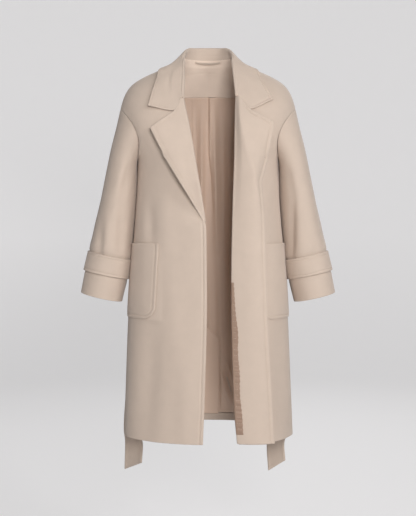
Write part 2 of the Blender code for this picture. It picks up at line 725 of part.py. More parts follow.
def make_belt():
    over_cloth = PATCH_EASE + BELT_CLOTH
    band = back_between(BELT_BOTTOM, BELT_TOP, BELT_REACH, over_cloth)
    cloth("belt_back", band, GRID["belt"], BELT_CLOTH, (0, 1, 0))
    for name, side in SIDES.items():
        panel = BACKS[name]
        rows = []
        for tip in reversed(BELT_TIP[name]):
            inner = np.array([side * tip.inner_out, tip.inner_y, tip.inner_z])
            outer = np.array([side * tip.outer_out, tip.outer_y, tip.outer_z])
            rows.append(straight(inner, outer))
        for row in reversed(BELT_END_ON_BACK):
            shares = np.array([row.inner, row.outer]) + BELT_END_SHIFT[name]
            levels = share_at_height(panel, shares, row.height)
            inner, outer = moved_out(panel, shares, levels, BELT_END_LIFT)
            rows.append(straight(inner, outer))
        cloth(f"belt_end_{name}", loft(rows), GRID["belt_end"], BELT_CLOTH, (0, 1, 0))

        def carrier(u, v, panel=panel):
            share = CARRIER_PLACE + (u - 0.5) * CARRIER_WIDTH
            level = share_at_height(panel, share, CARRIER_BOTTOM + v * (CARRIER_TOP - CARRIER_BOTTOM))
            bridge = np.clip(np.minimum(v, 1 - v) / CARRIER_RISE, 0, 1)
            lift = PATCH_EASE + CARRIER_CLOTH + bridge * (over_cloth + CARRIER_EASE)
            return moved_out(panel, share, level, lift)

        cloth(f"belt_loop_{name}", carrier, GRID["belt_loop"], CARRIER_CLOTH, (side, 1, 0))


for old in list(bpy.data.objects):
    bpy.data.objects.remove(old, do_unlink=True)
bpy.context.scene.collection.children.link(bpy.data.collections.new(COLLECTION))
FRONTS = {name: front(name) for name in SIDES}
BACKS = {name: back(name) for name in SIDES}
SLEEVES = {name: sleeve(name) for name in SIDES}
make_body()
make_sleeves()
make_turned_edges()
make_pockets()
make_collar()
make_inside()
make_belt()
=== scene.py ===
# %% [markdown]
# A long belted coat with notched lapels, filled out as if it were worn. Its cut comes from a packed
# frame: every piece is in metres, +Z up, with the nape at the origin and the front facing -Y. This
# lesson remakes each cut piece as a thin shell of cloth on the same form, adds rolled folds, creases,
# stitching and woven finishes, and lights it in a plain studio.

# %% Load the frame
import math
from collections import namedtuple

import bpy
import numpy as np
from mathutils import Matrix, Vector


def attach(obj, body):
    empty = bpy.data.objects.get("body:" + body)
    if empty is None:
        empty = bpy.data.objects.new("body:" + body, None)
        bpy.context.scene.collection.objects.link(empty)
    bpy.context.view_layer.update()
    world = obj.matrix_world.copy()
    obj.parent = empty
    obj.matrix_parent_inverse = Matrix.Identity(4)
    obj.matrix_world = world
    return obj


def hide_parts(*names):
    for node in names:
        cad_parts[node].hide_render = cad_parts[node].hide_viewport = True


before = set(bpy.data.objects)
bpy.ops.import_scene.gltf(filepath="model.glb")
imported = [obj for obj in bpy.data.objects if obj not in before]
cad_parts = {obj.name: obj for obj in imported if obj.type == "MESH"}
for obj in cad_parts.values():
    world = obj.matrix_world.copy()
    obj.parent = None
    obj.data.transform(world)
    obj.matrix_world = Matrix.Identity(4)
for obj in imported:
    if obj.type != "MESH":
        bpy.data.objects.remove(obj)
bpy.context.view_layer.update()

print("pieces in the frame:", len(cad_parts))

# %% [markdown]
# The photographer stood level with the coat's waist, almost three metres away, and framed it a little
# low. Tilting the camera would make the coat's sides lean, so it stays level and the lens is shifted, as
# on a studio camera.

# %% Camera
CAMERA_PLACE = (0.0, -2.80, -0.457)
LENS, SENSOR_WIDTH = 68.5, 36
PICTURE = (416, 516)
HORIZON_ROW = 220

camera_data = bpy.data.cameras.new("studio_camera")
camera = bpy.data.objects.new("studio_camera", camera_data)
bpy.context.scene.collection.objects.link(camera)
camera.location = CAMERA_PLACE
camera.rotation_euler = (math.pi / 2, 0, 0)
camera_data.lens = LENS
camera_data.sensor_width = SENSOR_WIDTH
camera_data.shift_y = (HORIZON_ROW - PICTURE[1] / 2) / PICTURE[1]
bpy.context.scene.camera = camera
print("camera shift:", round(camera_data.shift_y, 4))

# %% [markdown]
# A studio sweep is a floor that curves up into the wall, so no corner shows behind the coat. Here it is a
# wide round bowl made by turning one profile, so it stands behind the coat from every side. In a studio
# the sweep has lamps of its own, kept off the coat. Here the paper glows a little, only as it is seen, and
# less on the floor, where the coat's lamps already light it.

# %% Studio floor
FLOOR_HEIGHT, BOWL_RADIUS, BOWL_CURVE, BOWL_TOP, BOWL_TURNS = -1.50, 5.2, 1.6, 2.6, 96
FLOOR_COLOUR, PAPER_ROUGHNESS = (0.50, 0.494, 0.497, 1), 0.9
BACKDROP_GLOW, GLOW_ON_FLOOR, GLOW_HEIGHTS = 0.97, 0.76, (FLOOR_HEIGHT, -0.6)


def bowl_profile():
    flat = [(r, FLOOR_HEIGHT) for r in np.linspace(0.0, BOWL_RADIUS - BOWL_CURVE, 6)]
    bend = [
        (BOWL_RADIUS - BOWL_CURVE + BOWL_CURVE * math.sin(a), FLOOR_HEIGHT + BOWL_CURVE * (1 - math.cos(a)))
        for a in np.linspace(0, math.pi / 2, 13)[1:]
    ]
    return flat + bend + [(BOWL_RADIUS, BOWL_TOP)]


def turned_bowl(profile, turns):
    vertices, faces = [], []
    for k in range(turns):
        a = math.tau * k / turns
        vertices += [(r * math.cos(a), r * math.sin(a), z) for r, z in profile]
    n = len(profile)
    for k in range(turns):
        here, there = k * n, (k + 1) % turns * n
        faces += [(here + i, here + i + 1, there + i + 1, there + i) for i in range(n - 1)]
    mesh = bpy.data.meshes.new("studio_floor")
    mesh.from_pydata(vertices, [], faces)
    mesh.shade_smooth()
    return mesh


floor = bpy.data.objects.new("studio_floor", turned_bowl(bowl_profile(), BOWL_TURNS))
bpy.context.scene.collection.objects.link(floor)


def add_node(tree, kind, **settings):
    made = tree.nodes.new(kind)
    for key, value in settings.items():
        setattr(made, key, value)
    return made


paper = bpy.data.materials.new("backdrop_paper")
paper.use_nodes = True
sheet = paper.node_tree
paper_shader = sheet.nodes["Principled BSDF"]
paper_shader.inputs["Base Color"].default_value = FLOOR_COLOUR
paper_shader.inputs["Emission Color"].default_value = FLOOR_COLOUR
paper_shader.inputs["Roughness"].default_value = PAPER_ROUGHNESS
seen_by = add_node(sheet, "ShaderNodeLightPath")
place = add_node(sheet, "ShaderNodeNewGeometry")
height = add_node(sheet, "ShaderNodeSeparateXYZ")
climb = add_node(sheet, "ShaderNodeMapRange")
glow = add_node(sheet, "ShaderNodeMath", operation="MULTIPLY")
climb_ends = GLOW_HEIGHTS + (GLOW_ON_FLOOR * BACKDROP_GLOW, BACKDROP_GLOW)
for key, value in zip(("From Min", "From Max", "To Min", "To Max"), climb_ends):
    climb.inputs[key].default_value = value
for output, socket in (
    (place.outputs["Position"], height.inputs[0]),
    (height.outputs["Z"], climb.inputs["Value"]),
    (seen_by.outputs["Is Camera Ray"], glow.inputs[0]),
    (climb.outputs["Result"], glow.inputs[1]),
    (glow.outputs[0], paper_shader.inputs["Emission Strength"]),
):
    sheet.links.new(output, socket)
floor.data.materials.append(paper)
print("floor faces:", len(floor.data.polygons))

# %% [markdown]
# The light is a large soft source just beside the camera, which reaches into the open coat, a second one
# further to the right that models the folds, and an even glow from all round, so that shadows stay soft. A
# plain display transform keeps the cloth's colour as it is set.

# %% Light
Lamp = namedtuple("Lamp", "name place aim size power")
LAMPS = (
    Lamp("key", (0.55, -3.5, 0.15), (0.0, 0.0, -0.35), 1.0, 78),
    Lamp("side", (2.6, -2.5, 1.3), (0.0, 0.0, -0.5), 1.3, 43),
    Lamp("fill", (-2.6, -2.6, 0.4), (0.0, 0.0, -0.6), 2.2, 13),
    Lamp("back", (0.6, 2.8, 1.9), (0.0, 0.3, -0.3), 2.0, 58),
)
GLOW = 0.24


def aimed(place, aim):
    return (Vector(aim) - Vector(place)).to_track_quat("-Z", "Y").to_euler()


for lamp in LAMPS:
    data = bpy.data.lights.new(f"{lamp.name}_light", "AREA")
    data.size = lamp.size
    data.energy = lamp.power
    made = bpy.data.objects.new(f"{lamp.name}_light", data)
    made.location = lamp.place
    made.rotation_euler = aimed(lamp.place, lamp.aim)
    bpy.context.scene.collection.objects.link(made)

world = bpy.data.worlds.new("soft_glow")
world.use_nodes = True
world.node_tree.nodes["Background"].inputs["Color"].default_value = (1, 1, 1, 1)
world.node_tree.nodes["Background"].inputs["Strength"].default_value = GLOW
bpy.context.scene.world = world
bpy.context.scene.view_settings.view_transform = "Standard"
print("lamps:", [lamp.name for lamp in LAMPS])

# %% [markdown]
# The coat's cloth is a brushed wool: a twill whose surface has been raised into a short soft nap. What
# shows is a faint cloudiness, fibres that lie mostly down the piece and, close up, a trace of the twill.
# These effects are shared by the cloth and its lining, so each is a node group with named sockets.

# %% Helpers for node groups
CLOUD_ROUGHNESS = 0.6


def calculate(tree, operation, first, second=None):
    """A Math node; each input is a socket or a number."""
    made = add_node(tree, "ShaderNodeMath", operation=operation)
    for socket, value in zip(made.inputs, (first, second)):
        if value is None:
            continue
        if isinstance(value, (int, float)):
            socket.default_value = value
        else:
            tree.links.new(value, socket)
    return made.outputs[0]


def stretched(tree, place, scale):
    made = add_node(tree, "ShaderNodeVectorMath", operation="MULTIPLY")
    tree.links.new(place, made.inputs[0])
    made.inputs[1].default_value = scale
    return made.outputs[0]


def cloud(tree, place, detail):
    made = add_node(tree, "ShaderNodeTexNoise")
    tree.links.new(place, made.inputs["Vector"])
    for key, value in (("Scale", 1.0), ("Detail", detail), ("Roughness", CLOUD_ROUGHNESS)):
        made.inputs[key].default_value = value
    return made.outputs["Fac"]


def new_group(name, inputs, outputs):
    group = bpy.data.node_groups.new(name, "ShaderNodeTree")
    for socket_name, kind, value in inputs:
        socket = group.interface.new_socket(socket_name, in_out="INPUT", socket_type=kind)
        if value is not None:
            socket.default_value = value
    for socket_name, kind in outputs:
        group.interface.new_socket(socket_name, in_out="OUTPUT", socket_type=kind)
    return group, add_node(group, "NodeGroupInput"), add_node(group, "NodeGroupOutput")


# %% Node group: raised nap
FIBRES_PER_METRE = (1500.0, 420.0, 1.0)
SPECKS_PER_METRE = (900.0, 900.0, 1.0)
CLOUDS_PER_METRE = (34.0, 34.0, 34.0)
FIBRE_SHARE = 0.6

nap, given, result = new_group(
    "raised_nap",
    [
        ("Cloth place", "NodeSocketVector", None),
        ("Body place", "NodeSocketVector", None),
        ("Tone", "NodeSocketColor", None),
        ("Cloudiness", "NodeSocketFloat", 0.08),
        ("Fibre contrast", "NodeSocketFloat", 0.10),
    ],
    [("Colour", "NodeSocketColor"), ("Fibre", "NodeSocketFloat")],
)
fibre = cloud(nap, stretched(nap, given.outputs["Cloth place"], FIBRES_PER_METRE), 3.0)
speck = cloud(nap, stretched(nap, given.outputs["Cloth place"], SPECKS_PER_METRE), 2.0)
soft = cloud(nap, stretched(nap, given.outputs["Body place"], CLOUDS_PER_METRE), 4.0)
fibres = calculate(nap, "MULTIPLY", fibre, FIBRE_SHARE)
lying = calculate(nap, "ADD", fibres, calculate(nap, "MULTIPLY", speck, 1 - FIBRE_SHARE))
shade, streak = (
    calculate(nap, "MULTIPLY", calculate(nap, "SUBTRACT", pattern, 0.5), given.outputs[strength])
    for pattern, strength in ((soft, "Cloudiness"), (lying, "Fibre contrast"))
)
level = calculate(nap, "ADD", calculate(nap, "ADD", shade, streak), 1.0)
tinted = add_node(nap, "ShaderNodeVectorMath", operation="SCALE")
nap.links.new(given.outputs["Tone"], tinted.inputs[0])
nap.links.new(level, tinted.inputs["Scale"])
nap.links.new(tinted.outputs[0], result.inputs["Colour"])
nap.links.new(lying, result.inputs["Fibre"])
print("nap group nodes:", len(nap.nodes))

# %% Node group: twill ribs
TWILL_SLANT = 0.6

twill, given, result = new_group(
    "twill_ribs",
    [("Cloth place", "NodeSocketVector", None), ("Ribs per metre", "NodeSocketFloat", 620.0)],
    [("Rib", "NodeSocketFloat")],
)
split = add_node(twill, "ShaderNodeSeparateXYZ")
twill.links.new(given.outputs["Cloth place"], split.inputs[0])
leaning = calculate(twill, "MULTIPLY", split.outputs["Y"], TWILL_SLANT)
slant = calculate(twill, "ADD", split.outputs["X"], leaning)
turns = calculate(twill, "MULTIPLY", slant, given.outputs["Ribs per metre"])
swing = calculate(twill, "SINE", calculate(twill, "MULTIPLY", turns, math.tau))
rib = calculate(twill, "ADD", calculate(twill, "MULTIPLY", swing, 0.5), 0.5)
twill.links.new(rib, result.inputs["Rib"])
print("twill group nodes:", len(twill.nodes))

# %% [markdown]
# Each finish places the two groups with its own values. The wool is matt, with a soft sheen from its
# raised fibres; the lining is a smooth fine twill that shines a little; the thread is the wool's colour.
# The neck facing is the coat's wool painted lighter, as painted light inside the coat. The lining comes in
# two copies: the back lining's is painted lighter, as painted light inside the coat, and the strip's beside
# the fold is painted darker, as painted shade. The colour, the roughness and the bump come from the
# groups, and what is even stays on the shader.

# %% Materials
MAP = "cloth_map"
BUMP_STRENGTH, SPECULAR, SHEEN_ROUGHNESS = 0.6, 0.25, 0.55
Finish = namedtuple("Finish", "tone cloudiness contrast ribs rib_share rough rough_range bump sheen")
FINISHES = {
    "coat_wool": Finish((0.582, 0.472, 0.391, 1), 0.09, 0.16, 560.0, 0.25, 0.90, 0.10, 0.00045, 0.22),
    # the lining painted lighter: painted light inside the coat
    "lining_twill_painted_light": Finish((0.690, 0.510, 0.400, 1), 0.05, 0.05, 1500.0, 0.75, 0.50, 0.12, 0.00010, 0.05),
    # the coat's wool painted lighter: painted light on the neck facing inside the coat
    "facing_wool_painted_light": Finish((0.765, 0.624, 0.520, 1), 0.09, 0.16, 560.0, 0.25, 0.90, 0.10, 0.00045, 0.22),
    # the lining painted darker: painted shade on the strip beside the fold
    "lining_painted_shade": Finish((0.345, 0.232, 0.172, 1), 0.08, 0.08, 1500.0, 0.75, 0.55, 0.12, 0.00010, 0.05),
    "sewing_thread": Finish((0.560, 0.444, 0.361, 1), 0.05, 0.12, 1800.0, 0.80, 0.66, 0.10, 0.00020, 0.10),
}


def woven_material(name, finish):
    material = bpy.data.materials.new(name)
    material.use_nodes = True
    tree = material.node_tree
    shader = tree.nodes["Principled BSDF"]
    on_cloth = add_node(tree, "ShaderNodeUVMap", uv_map=MAP).outputs["UV"]
    on_body = add_node(tree, "ShaderNodeTexCoord").outputs["Object"]
    raised = add_node(tree, "ShaderNodeGroup", node_tree=nap)
    tree.links.new(on_cloth, raised.inputs["Cloth place"])
    tree.links.new(on_body, raised.inputs["Body place"])
    raised.inputs["Tone"].default_value = finish.tone
    raised.inputs["Cloudiness"].default_value = finish.cloudiness
    raised.inputs["Fibre contrast"].default_value = finish.contrast
    ribs = add_node(tree, "ShaderNodeGroup", node_tree=twill)
    tree.links.new(on_cloth, ribs.inputs["Cloth place"])
    ribs.inputs["Ribs per metre"].default_value = finish.ribs
    tree.links.new(raised.outputs["Colour"], shader.inputs["Base Color"])
    spread = calculate(tree, "MULTIPLY", raised.outputs["Fibre"], finish.rough_range)
    rough = calculate(tree, "ADD", spread, finish.rough - finish.rough_range / 2)
    tree.links.new(rough, shader.inputs["Roughness"])
    ribbed = calculate(tree, "MULTIPLY", ribs.outputs["Rib"], finish.rib_share)
    fuzzy = calculate(tree, "MULTIPLY", raised.outputs["Fibre"], 1 - finish.rib_share)
    bump = add_node(tree, "ShaderNodeBump")
    bump.inputs["Strength"].default_value = BUMP_STRENGTH
    bump.inputs["Distance"].default_value = finish.bump
    tree.links.new(calculate(tree, "ADD", ribbed, fuzzy), bump.inputs["Height"])
    tree.links.new(bump.outputs["Normal"], shader.inputs["Normal"])
    shader.inputs["Specular IOR Level"].default_value = SPECULAR
    shader.inputs["Sheen Weight"].default_value = finish.sheen
    shader.inputs["Sheen Roughness"].default_value = SHEEN_ROUGHNESS
    return material


MATERIALS = {name: woven_material(name, finish) for name, finish in FINISHES.items()}
print("materials:", list(MATERIALS))

# %% [markdown]
# Every piece lies on a smooth surface with two shares: u across the piece and v along it. A line of cloth
# between two points swells towards a corner, and a surface runs smoothly through a few such lines. All of
# it works on whole arrays, so a fine grid takes no longer to write than a coarse one.

# %% Curves and surfaces
SLOPE_STEP, NEWTON_STEP = 1e-4, 1e-5


def unit(vectors):
    return vectors / np.linalg.norm(vectors, axis=-1, keepdims=True)


def run_of(line):
    """The distance along a line of points, from its first one."""
    return np.concatenate([[0], np.cumsum(np.linalg.norm(np.diff(line, axis=0), axis=1))])


def picked(at, run, line):
    """Points of a line at given places along it."""
    return np.stack([np.interp(at, run, line[:, k]) for k in range(3)], axis=1)


def mirror_of(side):
    return np.array([side, 1, 1])


def straight(start, end):
    start, end = np.array(start), np.array(end)
    return lambda t: start + np.asarray(t)[:, None] * (end - start)


def cornered(start, corner, end, pull):
    """A line of cloth between two points that swells towards a corner."""
    start, corner, end = np.array(start), np.array(corner), np.array(end)
    near, far = start + pull * (corner - start), end + pull * (corner - end)

    def curve(t):
        t = np.asarray(t)[:, None]
        s = 1 - t
        return s**3 * start + 3 * s**2 * t * near + 3 * s * t**2 * far + t**3 * end

    return curve


def hermite(points, places, first, last, at):
    """Smooth values at the given places, through points that each hold a row of the same length."""
    padded = np.concatenate([first[0][None], points, last[0][None]])
    marks = np.concatenate([[first[1]], places, [last[1]]])
    slopes = (padded[2:] - padded[:-2]) / (marks[2:] - marks[:-2])[:, None, None]
    k = np.clip(np.searchsorted(places, at, side="right") - 1, 0, len(places) - 2)
    row = np.arange(len(at))
    span = (places[k + 1] - places[k])[:, None]
    t = (at[:, None] - places[k][:, None]) / span
    return (
        (1 + 2 * t) * (1 - t) ** 2 * points[k, row]
        + t * (1 - t) ** 2 * span * slopes[k, row]
        + t**2 * (3 - 2 * t) * points[k + 1, row]
        + t**2 * (t - 1) * span * slopes[k + 1, row]
    )


def loft(rows, places=None, after=None):
    """A smooth surface through rows, at given shares of its length or by the distance between them."""
    if places is None:
        listed = [row(np.linspace(0, 1, 9)) for row in rows]
        steps = [np.linalg.norm(b - a, axis=1).mean() for a, b in zip(listed, listed[1:])]
        places = np.cumsum([0.0] + steps) / sum(steps)

    def surface(u, v):
        u, v = np.atleast_1d(u).astype(float), np.atleast_1d(v).astype(float)
        points = np.array([row(u) for row in rows])
        first = (2 * points[0] - points[1], 2 * places[0] - places[1])
        beyond = after(u) if after else 2 * points[-1] - points[-2]
        return hermite(points, places, first, (beyond, 2 * places[-1] - places[-2]), v)

    return surface


def spline(points):
    """A smooth line through a few points."""
    points = np.array(points)
    marks = run_of(points)
    places = marks / marks[-1]

    def curve(t):
        t = np.asarray(t, float)
        rows = np.repeat(points[:, None, :], len(t), axis=1)
        first = (2 * rows[0] - rows[1], -places[1])
        return hermite(rows, places, first, (2 * rows[-1] - rows[-2], 2 - places[-2]), t)

    return curve


def outward_of(surface, u, v):
    """The outward normals of a surface that knows which way is out."""
    across = surface(np.clip(u + SLOPE_STEP, 0, 1), v) - surface(np.clip(u - SLOPE_STEP, 0, 1), v)
    along = surface(u, np.clip(v + SLOPE_STEP, 0, 1)) - surface(u, np.clip(v - SLOPE_STEP, 0, 1))
    return unit(np.cross(across, along) * surface.outward)


def moved_out(surface, u, v, lift):
    return surface(u, v) + outward_of(surface, u, v) * np.broadcast_to(lift, len(u))[:, None]


def share_at_height(surface, u, height):
    """How far up the surface its points reach a height, for each u."""
    low, high = np.zeros(len(u)), np.ones(len(u))
    for _ in range(32):
        middle = (low + high) / 2
        below = surface(u, middle)[:, 2] < height
        low, high = np.where(below, middle, low), np.where(below, high, middle)
    return (low + high) / 2


def shares_at(surface, x, z):
    """The shares (u, v) of the surface points that are seen from the front at x and z."""
    grid_u, grid_v = np.meshgrid(np.linspace(0, 0.96, 25), np.linspace(0, 1, 60))
    u, v = grid_u.ravel(), grid_v.ravel()
    known = surface(u, v)
    nearest = [np.argmin((known[:, 0] - a) ** 2 + (known[:, 2] - b) ** 2) for a, b in zip(x, z)]
    u, v = u[nearest], v[nearest]
    for _ in range(10):
        here = surface(u, v)
        by_u = (surface(u + NEWTON_STEP, v) - here) / NEWTON_STEP
        by_v = (surface(u, v + NEWTON_STEP) - here) / NEWTON_STEP
        miss_x, miss_z = x - here[:, 0], z - here[:, 2]
        whole = by_u[:, 0] * by_v[:, 2] - by_v[:, 0] * by_u[:, 2]
        u = np.clip(u + (miss_x * by_v[:, 2] - by_v[:, 0] * miss_z) / whole, 0, 1)
        v = np.clip(v + (by_u[:, 0] * miss_z - miss_x * by_u[:, 2]) / whole, 0, 1)
    return u, v


# %% [markdown]
# The body is cut as two fronts and two backs. Below the armholes each panel runs through level sections,
# and above them through slanted sections that end round the armhole. "Out" is the distance from the
# middle plane on either side. The tables repeat the cut of the frame's solids.

# %% Body tables
RIGHT, LEFT = -1, 1
SIDES = {"right": RIGHT, "left": LEFT}
Skirt = namedtuple("Skirt", "height edge_right edge_left front half_width back")
SKIRT = (
    Skirt(-1.060, 0.0134, 0.0778, -0.165, 0.2385, 0.165),
    Skirt(-0.960, 0.0095, 0.0694, -0.159, 0.2352, 0.161),
    Skirt(-0.725, 0.0030, 0.0625, -0.150, 0.2268, 0.152),
    Skirt(-0.560, 0.0035, 0.0630, -0.142, 0.2165, 0.138),
    Skirt(-0.470, 0.0054, 0.0650, -0.137, 0.2085, 0.131),
    Skirt(-0.390, 0.0165, 0.0673, -0.134, 0.2030, 0.129),
)
Chest = namedtuple("Chest", "edge_right edge_left edge_y edge_z angle corner_out corner_y corner_z pull")
CHEST = (
    Chest(0.0318, 0.0706, -0.129, -0.300, 180, 0.201, -0.129, -0.297, 0.58),
    Chest(0.0383, 0.0715, -0.124, -0.262, 140, 0.192, -0.127, -0.268, 0.60),
    Chest(0.0497, 0.0729, -0.114, -0.200, 95, 0.165, -0.127, -0.212, 0.70),
    Chest(0.0655, 0.0754, -0.087, -0.123, 60, 0.180, -0.109, -0.150, 0.75),
    Chest(0.0745, 0.0780, -0.042, -0.038, 30, 0.215, -0.050, -0.086, 0.85),
)
UpperBack = namedtuple("UpperBack", "middle_y middle_z angle corner_out corner_y corner_z pull")
UPPER_BACK = (
    UpperBack(0.130, -0.300, 180, 0.201, 0.130, -0.297, 0.58),
    UpperBack(0.132, -0.245, 140, 0.192, 0.132, -0.260, 0.60),
    UpperBack(0.129, -0.180, 95, 0.165, 0.134, -0.200, 0.70),
    UpperBack(0.118, -0.110, 60, 0.180, 0.124, -0.130, 0.75),
    UpperBack(0.097, -0.045, 30, 0.215, 0.076, -0.078, 0.85),
)
Ring = namedtuple("Ring", "outer_out outer_z inner_out inner_z middle_y half_depth lean")
SLEEVE = (
    Ring(0.2505, -0.142, 0.2010, -0.292, 0.010, 0.092, 0.028),
    Ring(0.2620, -0.195, 0.2018, -0.316, 0.011, 0.092, 0.012),
    Ring(0.2765, -0.255, 0.2024, -0.346, 0.012, 0.090, 0.004),
    Ring(0.2930, -0.330, 0.2040, -0.396, 0.012, 0.084, 0.000),
    Ring(0.3100, -0.410, 0.2083, -0.456, 0.010, 0.078, 0.000),
    Ring(0.3265, -0.485, 0.2133, -0.516, 0.007, 0.073, 0.000),
    Ring(0.3405, -0.549, 0.2186, -0.575, 0.004, 0.069, 0.000),
    Ring(0.3620, -0.662, 0.2450, -0.689, 0.000, 0.066, 0.000),
)
NECK_POINT = (0.078, 0.005, -0.008)
SHOULDER_CORNER = (0.229, 0.008, -0.0615)
NAPE_Y = 0.070
SKIRT_PULL, SHOULDER_PULL, NECK_PULL = 0.60, 0.92, 0.60
UNDERARM = 10 / 18
NECK_SHARE = 3 / 13
EDGE_FADE = 6


# %% Body surfaces
def mirrored(row, side):
    return lambda t: row(t) * mirror_of(side)


def ring_point(ring, angle):
    """Points round a sleeve ring: 0 on its outer side, 90 degrees in front, 180 on its inner side."""
    outer, inner = np.array([ring.outer_out, ring.outer_z]), np.array([ring.inner_out, ring.inner_z])
    plane = (outer + inner) / 2 + np.cos(angle)[:, None] * (outer - inner) / 2
    out = plane[:, 0] - ring.lean * np.sin(angle) ** 2
    return np.stack([out, ring.middle_y - ring.half_depth * np.sin(angle), plane[:, 1]], axis=1)


def armhole(degrees):
    return ring_point(SLEEVE[0], np.array([math.radians(degrees)]))[0]


def shoulder_seam():
    return cornered(NECK_POINT, SHOULDER_CORNER, armhole(0), SHOULDER_PULL)


def skirt_row(s, middle):
    """A level section of the skirt, from its edge or its middle round to the side seam."""
    return cornered(middle, (s.half_width, middle[1], s.height), (s.half_width, 0, s.height), SKIRT_PULL)


def front_rows(name):
    edge = "edge_" + name
    rows = [skirt_row(s, (getattr(s, edge), s.front, s.height)) for s in SKIRT]
    for c in CHEST:
        start = (getattr(c, edge), c.edge_y, c.edge_z)
        rows.append(cornered(start, (c.corner_out, c.corner_y, c.corner_z), armhole(c.angle), c.pull))
    return rows


def back_rows():
    rows = [skirt_row(s, (0, s.back, s.height)) for s in SKIRT]
    for b in UPPER_BACK:
        middle = (0, b.middle_y, b.middle_z)
        rows.append(cornered(middle, (b.corner_out, b.corner_y, b.corner_z), armhole(-b.angle), b.pull))
    return rows


def back_top(t):
    """The back neck from the nape to the neck point, then the shoulder seam."""
    t = np.asarray(t, float)
    corner = (NECK_POINT[0], NAPE_Y, 0)
    neck = cornered((0, NAPE_Y, 0), corner, NECK_POINT, NECK_PULL)(np.clip(t / NECK_SHARE, 0, 1))
    shoulder = shoulder_seam()(np.clip((t - NECK_SHARE) / (1 - NECK_SHARE), 0, 1))
    return np.where((t < NECK_SHARE)[:, None], neck, shoulder)


def fitted_to_edge(rows, after, side, way):
    """A body panel through its rows whose outer edge lies on the side seam and half of the armhole."""
    low, high = SKIRT[0].height, CHEST[0].edge_z
    places = [UNDERARM * (row.height - low) / (high - low) for row in SKIRT]
    places += [UNDERARM + (1 - UNDERARM) * (1 - row.angle / 180) for row in CHEST] + [1.0]
    loose = loft(rows, np.array(places), after)
    seam = spline([(row.half_width, 0, row.height) for row in SKIRT] + [tuple(armhole(180))])

    def outer_edge(v):
        below = seam(np.clip(v / UNDERARM, 0, 1))
        above = ring_point(SLEEVE[0], way * math.pi * np.clip((1 - v) / (1 - UNDERARM), 0, 1))
        return np.where((v < UNDERARM)[:, None], below, above) * mirror_of(side)

    def surface(u, v):
        u, v = np.atleast_1d(u).astype(float), np.atleast_1d(v).astype(float)
        return loose(u, v) + u[:, None] ** EDGE_FADE * (outer_edge(v) - loose(np.ones(len(v)), v))

    surface.outward = side * way
    return surface


def front(name):
    """A front from its edge or roll line (u = 0) to the side seam, and from the hem up to the shoulder."""
    side, past_seam = SIDES[name], back_rows()[-1]
    after = mirrored(lambda t: past_seam(NECK_SHARE + (1 - NECK_SHARE) * np.asarray(t)), side)
    rows = [mirrored(row, side) for row in front_rows(name) + [shoulder_seam()]]
    return fitted_to_edge(rows, after, side, 1)


def back(name):
    """A back from the middle (u = 0) to the side seam, and from the hem up to the neck and shoulder."""
    side, rows, past_seam = SIDES[name], back_rows(), front_rows("right")[-1]

    def after(t):
        t = np.asarray(t, float)
        beyond_neck = 2 * back_top(t) - rows[-1](t)
        beyond_seam = past_seam(np.clip((t - NECK_SHARE) / (1 - NECK_SHARE), 0, 1))
        return np.where((t < NECK_SHARE)[:, None], beyond_neck, beyond_seam)

    return fitted_to_edge([mirrored(r, side) for r in rows + [back_top]], mirrored(after, side), side, -1)


def sleeve(name):
    """A sleeve, once round its rings (u) and from the armhole to the cuff (v)."""
    side = SIDES[name]
    rows = [lambda t, ring=ring: ring_point(ring, np.asarray(t) * math.tau) for ring in SLEEVE]
    surface = loft([mirrored(row, side) for row in rows])
    surface.outward = side
    return surface


FRONTS = {name: front(name) for name in SIDES}
BACKS = {name: back(name) for name in SIDES}
SLEEVES = {name: sleeve(name) for name in SIDES}
print("right hem at the side seam:", FRONTS["right"](1.0, 0.0)[0].round(4))

# %% [markdown]
# A piece of cloth has two faces and a rounded edge. The face that shows is a fine grid of points; the
# other face lies one wall behind it, and a half-round rim joins them. The map on each piece is in metres
# along the cloth, so that fibres and ribs keep their real size everywhere.

# %% Shells of cloth
RIM_STEPS, SEWN_RIM = 4, 0.1
SIDES_OF_GRID = ("low", "high", "first", "last")
FRONT_WAY, BACK_WAY, UP_WAY = (0, -1, 0), (0, 1, 0), (0, 0, 1)
MADE = {}


def slopes_of(points, wrapped):
    across = np.roll(points, -1, 1) - np.roll(points, 1, 1) if wrapped else np.gradient(points, axis=1)
    return across, np.gradient(points, axis=0)


def facing_of(points, towards, wrapped):
    """A grid's normals on the side that faces a given way, or away from its middle, and their sign."""
    normal = unit(np.cross(*slopes_of(points, wrapped)))
    way = points - points.mean(axis=(0, 1)) if wrapped else np.array(towards, float)
    sign = 1 if (normal * way).sum() > 0 else -1
    return normal * sign, sign


def run_along(points, axis):
    """The distance along a grid's lines, from their first point."""
    steps = np.linalg.norm(np.diff(points, axis=axis), axis=2)
    return np.insert(np.cumsum(steps, axis=axis), 0, 0.0, axis=axis)


def border_of(rows, columns, wrapped):
    """Loops of grid places round the border, each with the way out of the grid: (along, across)."""
    low, high = [(0, j) for j in range(columns)], [(rows - 1, j) for j in range(columns)]
    if wrapped:
        return [[(i, j, -1, 0) for i, j in low], [(i, j, 1, 0) for i, j in reversed(high)]]
    loop = [(i, j, -1, -1 if j == 0 else 0) for i, j in low[:-1]]
    loop += [(i, columns - 1, -1 if i == 0 else 0, 1) for i in range(rows - 1)]
    loop += [(i, j, 1, 1 if j == columns - 1 else 0) for i, j in reversed(high[1:])]
    loop += [(i, 0, 1 if i == rows - 1 else 0, -1) for i in range(rows - 1, 0, -1)]
    return [loop]


